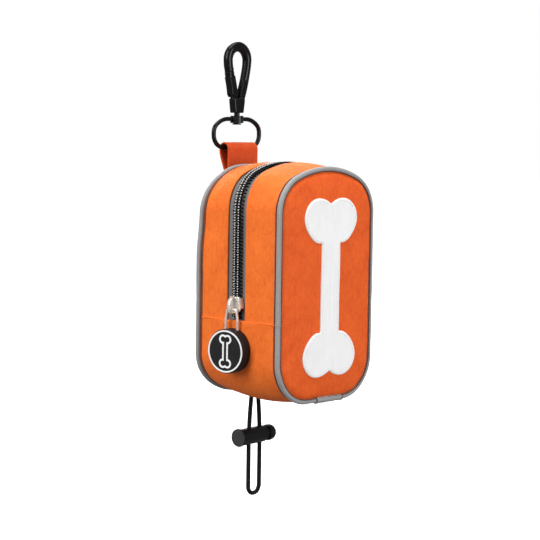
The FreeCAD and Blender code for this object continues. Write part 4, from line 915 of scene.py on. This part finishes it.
def coil(side, sign):
    """One half of the chain: a nylon coil whose heads reach past the middle between the other half's."""
    start = 0.0 if sign < 0 else COIL_PITCH / 2
    turns = int((CHAIN.length[-1] - COIL_PITCH) / COIL_PITCH)
    phase = np.linspace(0, turns * 2 * math.pi, turns * 14 + 1)
    tall = np.sin(phase)
    bar = np.sign(tall) * np.abs(tall) ** 0.6
    y = CHAIN_Y + sign * (1.5 - 1.36 * np.cos(phase))
    path = chain_point(start + phase / (2 * math.pi) * COIL_PITCH, y, 0.95 - 0.6 * bar)
    points, faces = tube(settle(path), 0.36, 6, up=(0.31, 0.87, 0.38))
    add_piece(f"coil_{side}", points, faces, COIL_BLACK, "pouch", None, [f"zip_coil_{side}"])


coil("front", -1)
coil("back", 1)


def bead(centre, along, out, size):
    """A small rounded thread bead that lies along a row."""
    side = np.cross(along, out)
    rings, around = 5, 6
    points = []
    for i in range(rings):
        a = math.pi * (i + 0.5) / rings
        for j in range(around):
            b = 2 * math.pi * j / around
            offset = -math.cos(a) * size[0] * along
            offset = offset + math.sin(a) * (math.cos(b) * size[1] * side + math.sin(b) * size[2] * out)
            points.append(centre + offset)
    return np.array(points), ring_faces(rings, around)


def chain_stitches():
    """The two pale rows of thread that hold the coils to their tapes."""
    pitch, offset, size = 1.15, 1.15, (0.3, 0.36, 0.32)
    parts = []
    lengths = np.arange(0.6, CHAIN.length[-1] - 0.6, pitch)
    for sign in (-1, 1):
        centres = chain_point(lengths, 0.0, 0.02)
        along = unit(chain_point(lengths + 0.2, 0.0, 0.02) - centres)
        out = unit(chain_point(lengths, 0.0, -1.0) - centres)
        centres[:, 1] = CHAIN_Y + sign * offset
        parts += [bead(*row, size) for row in zip(centres, along, out)]
    points, faces = merge(parts)
    add_piece("chain_thread", settle(points), faces, GREY_THREAD, "pouch")


chain_stitches()


# ---------------------------------------------------------------- stitches
def stitch_row(name, path, outs, material, pitch, length, width, sink):
    """A row of stitches that dive into the cloth at their ends. outs is one direction or one per point."""
    outs = np.broadcast_to(np.asarray(outs, float), path.shape)
    far = length_along(path)
    arch = 1 - np.linspace(-1, 1, 7) ** 4
    taper = width / 2 * (0.7 + 0.3 * arch)
    parts = []
    position = pitch * 0.5
    while position + length / 2 < far[-1]:
        at = np.linspace(position - length / 2, position + length / 2, 7)
        out = sample(at, far, outs)
        line = sample(at, far, path) + out * (arch * sink - sink * 0.55)[:, None]
        parts.append(tube(line, taper, 6, up=tuple(out[3])))
        position += pitch
    points, faces = merge(parts)
    add_piece(name, points, faces, material, "pouch")


def surface_tree(piece):
    graph = bpy.context.evaluated_depsgraph_get()
    graph.update()
    return BVHTree.FromObject(piece, graph)


def drop_on(tree, points, direction, reach=0.2):
    """Each point carried along its direction to the surface; points in millimetres, reach in metres."""
    found = []
    for p, way in zip(points, np.broadcast_to(direction, np.shape(points))):
        hit = tree.ray_cast(Vector(p) * MM - Vector(way) * 0.03, Vector(way), reach)[0]
        found.append(np.array(hit) / MM if hit else np.array(p))
    return np.array(found)


def drop_flat(tree, flat, way):
    """Places (x, z) carried along y, from well outside the object, to the first surface they meet."""
    return drop_on(tree, np.insert(np.array(flat, float), 1, -60.0 * way, axis=1), (0, way, 0))


def piping_stitches(name, plane, side, arch):
    """The seam's thread on both sides of a piping, coloured dark as painted shade in the seam's crease. side
    is -1 at the front and +1 at the back.
    """
    def round_the_outline(path):
        return np.vstack([path, path[:1]])

    normals = round_the_outline(WHOLE.outward)
    panel = round_the_outline(settle(WHOLE.at(plane + side * 0.95, 1.02)))
    face = normals * 0.55 + np.array([0, side * 0.84, 0])
    # Dark stitch rows on panel and gusset: painted shade along the piping's crease.
    stitch_row(
        f"{name}_panel", panel, face, SEAM_SHADE_THREAD, pitch=1.3, length=0.9, width=0.55, sink=0.3
    )
    gusset = round_the_outline(settle(WHOLE.at(plane - side * 2.45, 0.0)))
    for cloth in (arch, "gusset_base"):
        gusset = drop_on(surface_tree(bpy.data.objects[cloth]), gusset, -normals, 0.035)
    stitch_row(
        f"{name}_gusset", gusset, normals, SEAM_SHADE_THREAD, pitch=1.2, length=0.9, width=0.7,
        sink=0.35,
    )


piping_stitches("front_seam", FRONT_Y, -1, "gusset_front")
piping_stitches("back_seam", BACK_Y, 1, "gusset_back")


# ---------------------------------------------------------------- bone on the front panel
def bone_outline(lobe_x, radius, shaft, top_z, base_z, notch, step=0.5):
    """The bone's outline, clockwise from the top of the right lobe: points (x, z)."""
    meet = math.sqrt(radius**2 - (lobe_x - shaft) ** 2)
    corner = math.atan2(-meet, shaft - lobe_x)
    turn = math.acos(lobe_x / notch)
    quarter = []
    for r, first, last in ((notch, math.pi - turn, math.pi / 2), (radius, math.pi / 2, corner)):
        for angle in np.arange(first, last, -step / r):
            quarter.append((lobe_x + r * math.cos(angle), radius - r + r * math.sin(angle)))
    quarter.append((shaft, -meet))
    quarter = np.array(quarter)
    below = np.clip(-quarter[:, 1] / meet, 0, 1)
    quarter[:, 0] = shaft + (quarter[:, 0] - shaft) * (1 - 0.22 * below**1.5)
    quarter[:, 1] *= np.where(quarter[:, 1] < 0, 1.15, 1.0)
    meet *= 1.15
    right_top = quarter + [0, top_z]
    right_base = quarter[::-1] * [1, -1] + [0, base_z]
    count = int((top_z - base_z - 2 * meet) / step)
    heights = np.linspace(top_z - meet, base_z + meet, count + 1)[1:-1]
    right = np.concatenate([right_top, np.stack([np.full(count - 1, shaft), heights], 1), right_base])
    left = right[::-1] * [-1, 1]
    return np.concatenate([right, left[1:-1]])


def inset_outline(outline, distance):
    """The outline moved inwards, with the points that would cross dropped."""
    along = unit(np.roll(outline, -1, 0) - np.roll(outline, 1, 0))
    moved = outline + np.stack([along[:, 1], -along[:, 0]], 1) * distance
    return moved[gap_to(outline, moved) > distance * 0.97]


def bone():
    """White coated cloth cut as a bone, sewn on the crowned panel: its edge stands a little off the panel."""
    half_thick, stitch_inset = 0.55, 1.15
    outline = bone_outline(lobe_x=8.25, radius=9.85, shaft=6.4, top_z=86.0, base_z=21.2, notch=13.6)
    count = len(outline)
    slab = np.concatenate([np.insert(outline, 1, y, axis=1) for y in (-half_thick, half_thick)])
    faces = [tuple(range(count)), tuple(range(2 * count - 1, count - 1, -1))]
    faces += [(i, (i + 1) % count, (i + 1) % count + count, i + count) for i in range(count)]
    points, faces = fuse("bone_slab", [(slab, faces)], 0.34, 3, cut=True)
    flat = points[:, [0, 2]] - [0, DROP]
    placed = drop_flat(surface_tree(front_panel), flat, 1)
    near = gap_to(outline - [0, DROP], flat)
    lift = -0.05 * np.exp(-((near - stitch_inset) ** 2) / 0.12)
    lift += 0.10 * mottle(flat, 0.22, 3.1, 0.09)
    crease = np.exp(-((flat[:, 0] - 0.5) ** 2) / 0.10)
    crease *= np.clip((flat[:, 1] + 132) / 6, 0, 1) * np.clip((-101 - flat[:, 1]) / 6, 0, 1)
    lift -= 0.28 * crease
    placed[:, 1] += points[:, 1] - 0.05 - np.where(points[:, 1] < 0, lift, 0)
    piece = add_piece("bone", placed, faces, BONE_FILM, "pouch", flat, ["bone_applique"])
    row = inset_outline(outline, stitch_inset) - [0, DROP]
    line = drop_flat(surface_tree(piece), np.concatenate([row, row[:1]]), 1)
    stitch_row(
        "bone_stitches", line, (0, -1, 0), WHITE_THREAD, pitch=2.1, length=1.5, width=0.34,
        sink=0.22,
    )


bone()


# ---------------------------------------------------------------- strap
def strap():
    """A folded strip of the pouch's cloth that hangs on the ring: turned edges, a fold over the ring's bar
    and a sewn tail."""
    fold_y, fold_z, fold_r = -0.5, -47.7, 2.95
    turn = np.linspace(math.pi, 0, 17)
    line = np.array(
        [(-3.42, z) for z in np.linspace(-78.0, -49.0, 15)]
        + [(fold_y + fold_r * math.cos(a), fold_z + fold_r * math.sin(a)) for a in turn]
        + [(2.45 - 4.75 * t * t * (3 - 2 * t), fold_z - 16.3 * t) for t in np.linspace(0.08, 1, 12)]
        + [(-2.3, z) for z in np.linspace(-66.0, -78.0, 7)]
    )
    along = unit(np.gradient(line, axis=0))
    out = np.stack([-along[:, 1], along[:, 0]], 1)
    far = length_along(line)
    low, high, half = -9.3, 11.3, 0.5
    share = np.linspace(0, 1, 19)
    rows = []
    for length, place, normal in zip(far, line, out):
        edge = 0.12 * noise.noise(Vector((length * 0.12, 1.7, 0)))
        ring = []
        for side, order in ((1, share), (-1, share[::-1])):
            for s in order:
                x = low + 0.35 + (high - low - 0.7) * s + edge * (2 * s - 1)
                near = min(s, 1 - s) * (high - low)
                hem = 0.07 * math.exp(-((near - 1.1) / 0.8) ** 2)
                hem -= 0.09 * math.exp(-((near - 2.6) / 0.35) ** 2)
                uneven = 0.05 * noise.noise(Vector((x * 0.25, length * 0.2, side)))
                ring.append((x, side * (half + hem + uneven)))
            bulge = 0.35 * side
            x = (high if side > 0 else low) - bulge + edge * side
            for a in (math.pi / 4, 0.0, -math.pi / 4):
                ring.append((x + bulge * math.cos(a), side * half * math.sin(a)))
        rows.append([(x, *(place + normal * offset)) for x, offset in ring])
    rows = np.array(rows)
    count = rows.shape[1]
    cloth = np.stack([rows[..., 0], np.broadcast_to(far[:, None], rows.shape[:2])], 2).reshape(-1, 2)
    piece = add_piece(
        "strap", rows.reshape(-1, 3), ring_faces(len(rows), count), SHADED_STRAP_CLOTH, "pouch",
        cloth, ["hang_strap"],
    )
    subdivide(piece)
    tree = surface_tree(piece)
    heights = np.linspace(-49.6, -77.0, 40)
    rows = [([(x, z) for z in heights], way) for x in (low + 2.6, high - 2.6) for way in (1, -1)]
    left, right, top, base = -6.7, 8.7, -63.8, -75.6
    box = np.array([(left, top), (right, top), (right, base), (left, base), (left, top), (right, base)])
    far = length_along(box)
    rows.append((sample(np.linspace(0, far[-1], 160), far, box), -1))
    for number, (flat, way) in enumerate(rows):
        path = drop_flat(tree, flat, way)
        stitch_row(
            f"strap_stitches_{number}", path, (0, -way, 0), ORANGE_THREAD,
            pitch=2.0, length=1.45, width=0.3, sink=0.2,
        )


strap()


# ---------------------------------------------------------------- hook and gate
def bar(stations, power, count, depth_at=0.0):
    """A cast bar through stations (x, z, half width, half depth). Its section lies between an ellipse,
    at power 2, and a rectangle."""
    line = ease(stations, count)
    along = unit(np.gradient(line[:, :2], axis=0))
    angles = np.linspace(0, 2 * math.pi, 28, endpoint=False)
    wide, deep = (np.sign(wave) * np.abs(wave) ** (2 / power) for wave in (np.cos(angles), np.sin(angles)))
    x = line[:, 0:1] - along[:, 1:2] * line[:, 2:3] * wide
    z = line[:, 1:2] + along[:, 0:1] * line[:, 2:3] * wide
    y = depth_at + line[:, 3:4] * deep
    return np.stack([x, y, z], 2).reshape(-1, 3), ring_faces(count, len(angles))


def trim_nose(skin, x, z, side, region):
    """Flattens what stands past the slanted plane where the hook's nose and the gate meet."""
    normal = np.array([0.52, -0.854]) * side
    past = np.stack([skin[:, 0] - x, skin[:, 2] - z], 1) @ normal
    tip = region & (past > 0.0)
    skin[tip, 2] -= past[tip] * normal[1]
    skin[tip, 0] -= past[tip] * normal[0]


def hook():
    """The cast hook: a round bight with a nose, a spine with a flat in each face, and the swivel's block."""
    bight = [
        (6.5 * math.cos(a), -3.85 + 6.5 * math.sin(a), 2.2 + 0.3 * math.sin(a), 2.2)
        for a in np.linspace(math.pi, 0, 13)
    ]
    nose = [(-5.1, -11.6, 2.15, 2.15), (-5.75, -9.0, 2.2, 2.2), (-6.3, -6.6, 2.2, 2.2)]
    spine = [
        (6.25, -7.0, 2.15, 2.15), (5.55, -10.6, 2.15, 2.15), (4.45, -15.2, 2.25, 2.15),
        (3.0, -20.0, 2.35, 2.15), (2.0, -23.4, 2.0, 2.15), (1.2, -26.0, 1.8, 2.1),
    ]
    block = [(0, -22.9, 3.9, 2.2), (0, -24.2, 3.85, 2.2), (0, -27.0, 3.5, 2.15), (0, -29.9, 3.05, 2.1)]
    tongue = [(-2.9, -19.0, 1.55, 0.72), (-2.9, -20.4, 1.75, 0.75), (-2.4, -24.0, 1.75, 0.8)]
    parts = [bar(nose + bight + spine, 2.3, 120), bar(block, 7.0, 12), bar(tongue, 5.0, 12)]
    skin, faces = fuse("hook_skin", parts, 0.2, 3)
    flat = (skin[:, 0] > 0.6) & (skin[:, 2] < -14.1) & (skin[:, 2] > -22.2)
    skin[flat, 1] = np.clip(skin[flat, 1], -1.62, 1.62)
    trim_nose(skin, -3.8, -7.9, 1, (skin[:, 0] < -2.0) & (skin[:, 2] > -13.0))
    add_piece("hook_cast", skin, faces, HOOK_BLACK, "hook", None, ["hook_body"])


def gate():
    """The gate: a flat-faced bar that ends in two cheeks round the hinge pin."""
    top = [
        (-6.2, -7.4, 2.1, 2.12), (-5.85, -9.2, 2.1, 2.12), (-5.3, -11.4, 2.05, 2.12),
        (-4.75, -13.6, 1.98, 2.1),
    ]
    cheek = [
        (-5.1, -12.2, 1.98, 0.58), (-4.3, -15.2, 1.95, 0.58), (-3.55, -18.6, 2.0, 0.58),
        (-3.1, -20.6, 2.15, 0.58), (-2.95, -22.2, 1.3, 0.5),
    ]
    web = [
        (-6.5, -11.8, 0.62, 1.9), (-5.75, -15.2, 0.6, 1.9), (-5.2, -18.4, 0.45, 1.9),
        (-5.0, -20.8, 0.28, 1.8),
    ]
    cheeks = [bar(cheek, 4.0, 24, depth_at=side * 1.54) for side in (-1, 1)]
    skin, faces = fuse("gate_skin", [bar(top, 3.0, 20), *cheeks, bar(web, 3.0, 18)], 0.17, 2)
    trim_nose(skin, -3.92, -8.12, -1, skin[:, 2] > -13.0)
    skin[:, 1] = np.clip(skin[:, 1], -2.06, 2.06)
    add_piece("gate_cast", skin, faces, HOOK_BLACK, "gate", None, ["gate"])


hook()
gate()


# ---------------------------------------------------------------- zip slider
def slider():
    """The cast slider: a plate with a broad nose, turned flanges, an inner plate and a bail over the link."""
    def facing(out, *shape):
        points, faces = bar(*shape)
        return points[:, [1, 0, 2]] + [-HALF_WIDTH - out, ZIP_Y, SLIDER_Z], faces

    outline = [
        (0, 3.85, 3.15, 0.5), (0, 3.0, 3.3, 0.52), (0, 1.0, 3.65, 0.52), (0, -1.1, 4.2, 0.52),
        (0, -2.3, 3.9, 0.5), (0, -3.4, 2.7, 0.48), (0, -3.9, 1.8, 0.45),
    ]
    parts = [facing(0.85, outline, 5.0, 26)]
    parts.append(facing(-3.05, [(x, z, 0.86 * wide, 0.4) for x, z, wide, _ in outline], 5.0, 26))
    for side in (-1, 1):
        flange = [(side * 3.15, 3.3, 0.3, 1.0), (side * 3.6, 1.0, 0.3, 1.05), (side * 3.95, -1.6, 0.32, 1.0)]
        parts.append(facing(-0.35, flange, 4.0, 16))
    parts.append(facing(-1.1, [(0, 3.4, 0.28, 2.0), (0, 1.6, 0.3, 2.0), (0, 0.3, 0.25, 2.0)], 4.0, 12))
    bail = [
        (-33.0, 3.2), (-34.9, 3.15), (-36.2, 2.3), (-36.8, 0.6), (-36.85, -1.6), (-36.4, -3.1),
        (-35.2, -3.85), (-33.0, -3.6),
    ]
    parts.append(bar([(x, z + SLIDER_Z, 0.42, 1.0) for x, z in bail], 3.2, 60, depth_at=ZIP_Y))
    skin, faces = fuse("slider_skin", parts, 0.13, 2)
    add_piece("slider_cast", skin, faces, PALE_METAL, "slider", None, ["zip_slider"])


slider()


# ---------------------------------------------------------------- CAD parts that keep their shape
# Each one's finish and the width of its rounded edges, in millimetres.
FINISH = {
    "swivel_ring": (HOOK_BLACK, 0.2), "swivel_post": (HOOK_BLACK, 0.15),
    "gate_pin": (STEEL, 0.1), "gate_spring": (STEEL, 0.0), "toggle_spring": (STEEL, 0.0),
    "pull_link": (PALE_METAL, 0.0), "pull_disc": (DISC_BLACK, 0.12),
    "pull_disc_ring": (INLAY_WHITE, 0.07), "pull_disc_bone": (INLAY_WHITE, 0.07),
    "toggle_barrel": (TOGGLE_BLACK_LIT_END, 0.16), "toggle_plunger": (TOGGLE_BLACK_LIT_END, 0.12),
    "cord_anchor_patch": (BINDING, 0.1),
}
for label, (finish, width) in FINISH.items():
    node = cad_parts[label]
    node.data.materials.clear()
    node.data.materials.append(finish)
    if width:
        bevel(node, width)


# ---------------------------------------------------------------- floor, backdrop and light
def studio():
    reach, depth = 6.0, -0.262
    floor = bpy.data.meshes.new("floor")
    corners = [(-reach, -reach, depth), (reach, -reach, depth), (reach, reach, depth), (-reach, reach, depth)]
    floor.from_pydata(corners, [], [(0, 1, 2, 3)])
    white = (1.0, 1.0, 1.0, 1.0)
    pale = Shader("pale_floor", 0.85, Emission_Color=white, Emission_Strength=0.35)
    pale.colour(pale.noise(pale.place(), 0.004, 2.0), (0.93, 0.93, 0.93), (0.96, 0.96, 0.96))
    floor.materials.append(pale.material)
    ground = new_object("floor", floor)
    ground.visible_diffuse = False
    ground.visible_glossy = False

    world = bpy.data.worlds.new("studio")
    bpy.context.scene.world = world
    world.use_nodes = True
    tree = world.node_tree
    seen = tree.nodes.new("ShaderNodeLightPath").outputs["Is Camera Ray"]
    fill, backdrop = tree.nodes["Background"], tree.nodes.new("ShaderNodeBackground")
    for node, colour, strength in ((fill, (0.97, 0.98, 1.0, 1.0), 0.30), (backdrop, white, 1.0)):
        node.inputs["Color"].default_value = colour
        node.inputs["Strength"].default_value = strength
    blend = tree.nodes.new("ShaderNodeMixShader")
    for socket, source in zip(blend.inputs, (seen, fill.outputs[0], backdrop.outputs[0])):
        tree.links.new(source, socket)
    tree.links.new(blend.outputs[0], tree.nodes["World Output"].inputs["Surface"])

    def softbox(name, azimuth, elevation, distance, size, power):
        light = bpy.data.lights.new(name, "AREA")
        light.shape = "RECTANGLE"
        light.size, light.size_y = size
        light.energy = power
        lamp = new_object(name, light)
        away = direction_to(azimuth, elevation)
        lamp.location = away * distance + Vector((0, -0.03, -0.1))
        lamp.rotation_euler = away.to_track_quat("Z", "Y").to_euler()

    softbox("key", -98, 28, 1.3, (0.8, 1.0), 14.0)
    softbox("front", 12, 9, 1.5, (0.8, 0.9), 13.5)
    softbox("top", -40, 78, 1.2, (0.9, 0.9), 3.5)
    softbox("rear", 150, 30, 1.4, (0.9, 0.9), 12.0)
    overhead = bpy.data.lights.new("overhead", "SUN")
    overhead.energy, overhead.angle = 1.9, math.radians(60.0)
    new_object("overhead", overhead)


studio()
bpy.context.scene.view_settings.view_transform = "Standard"
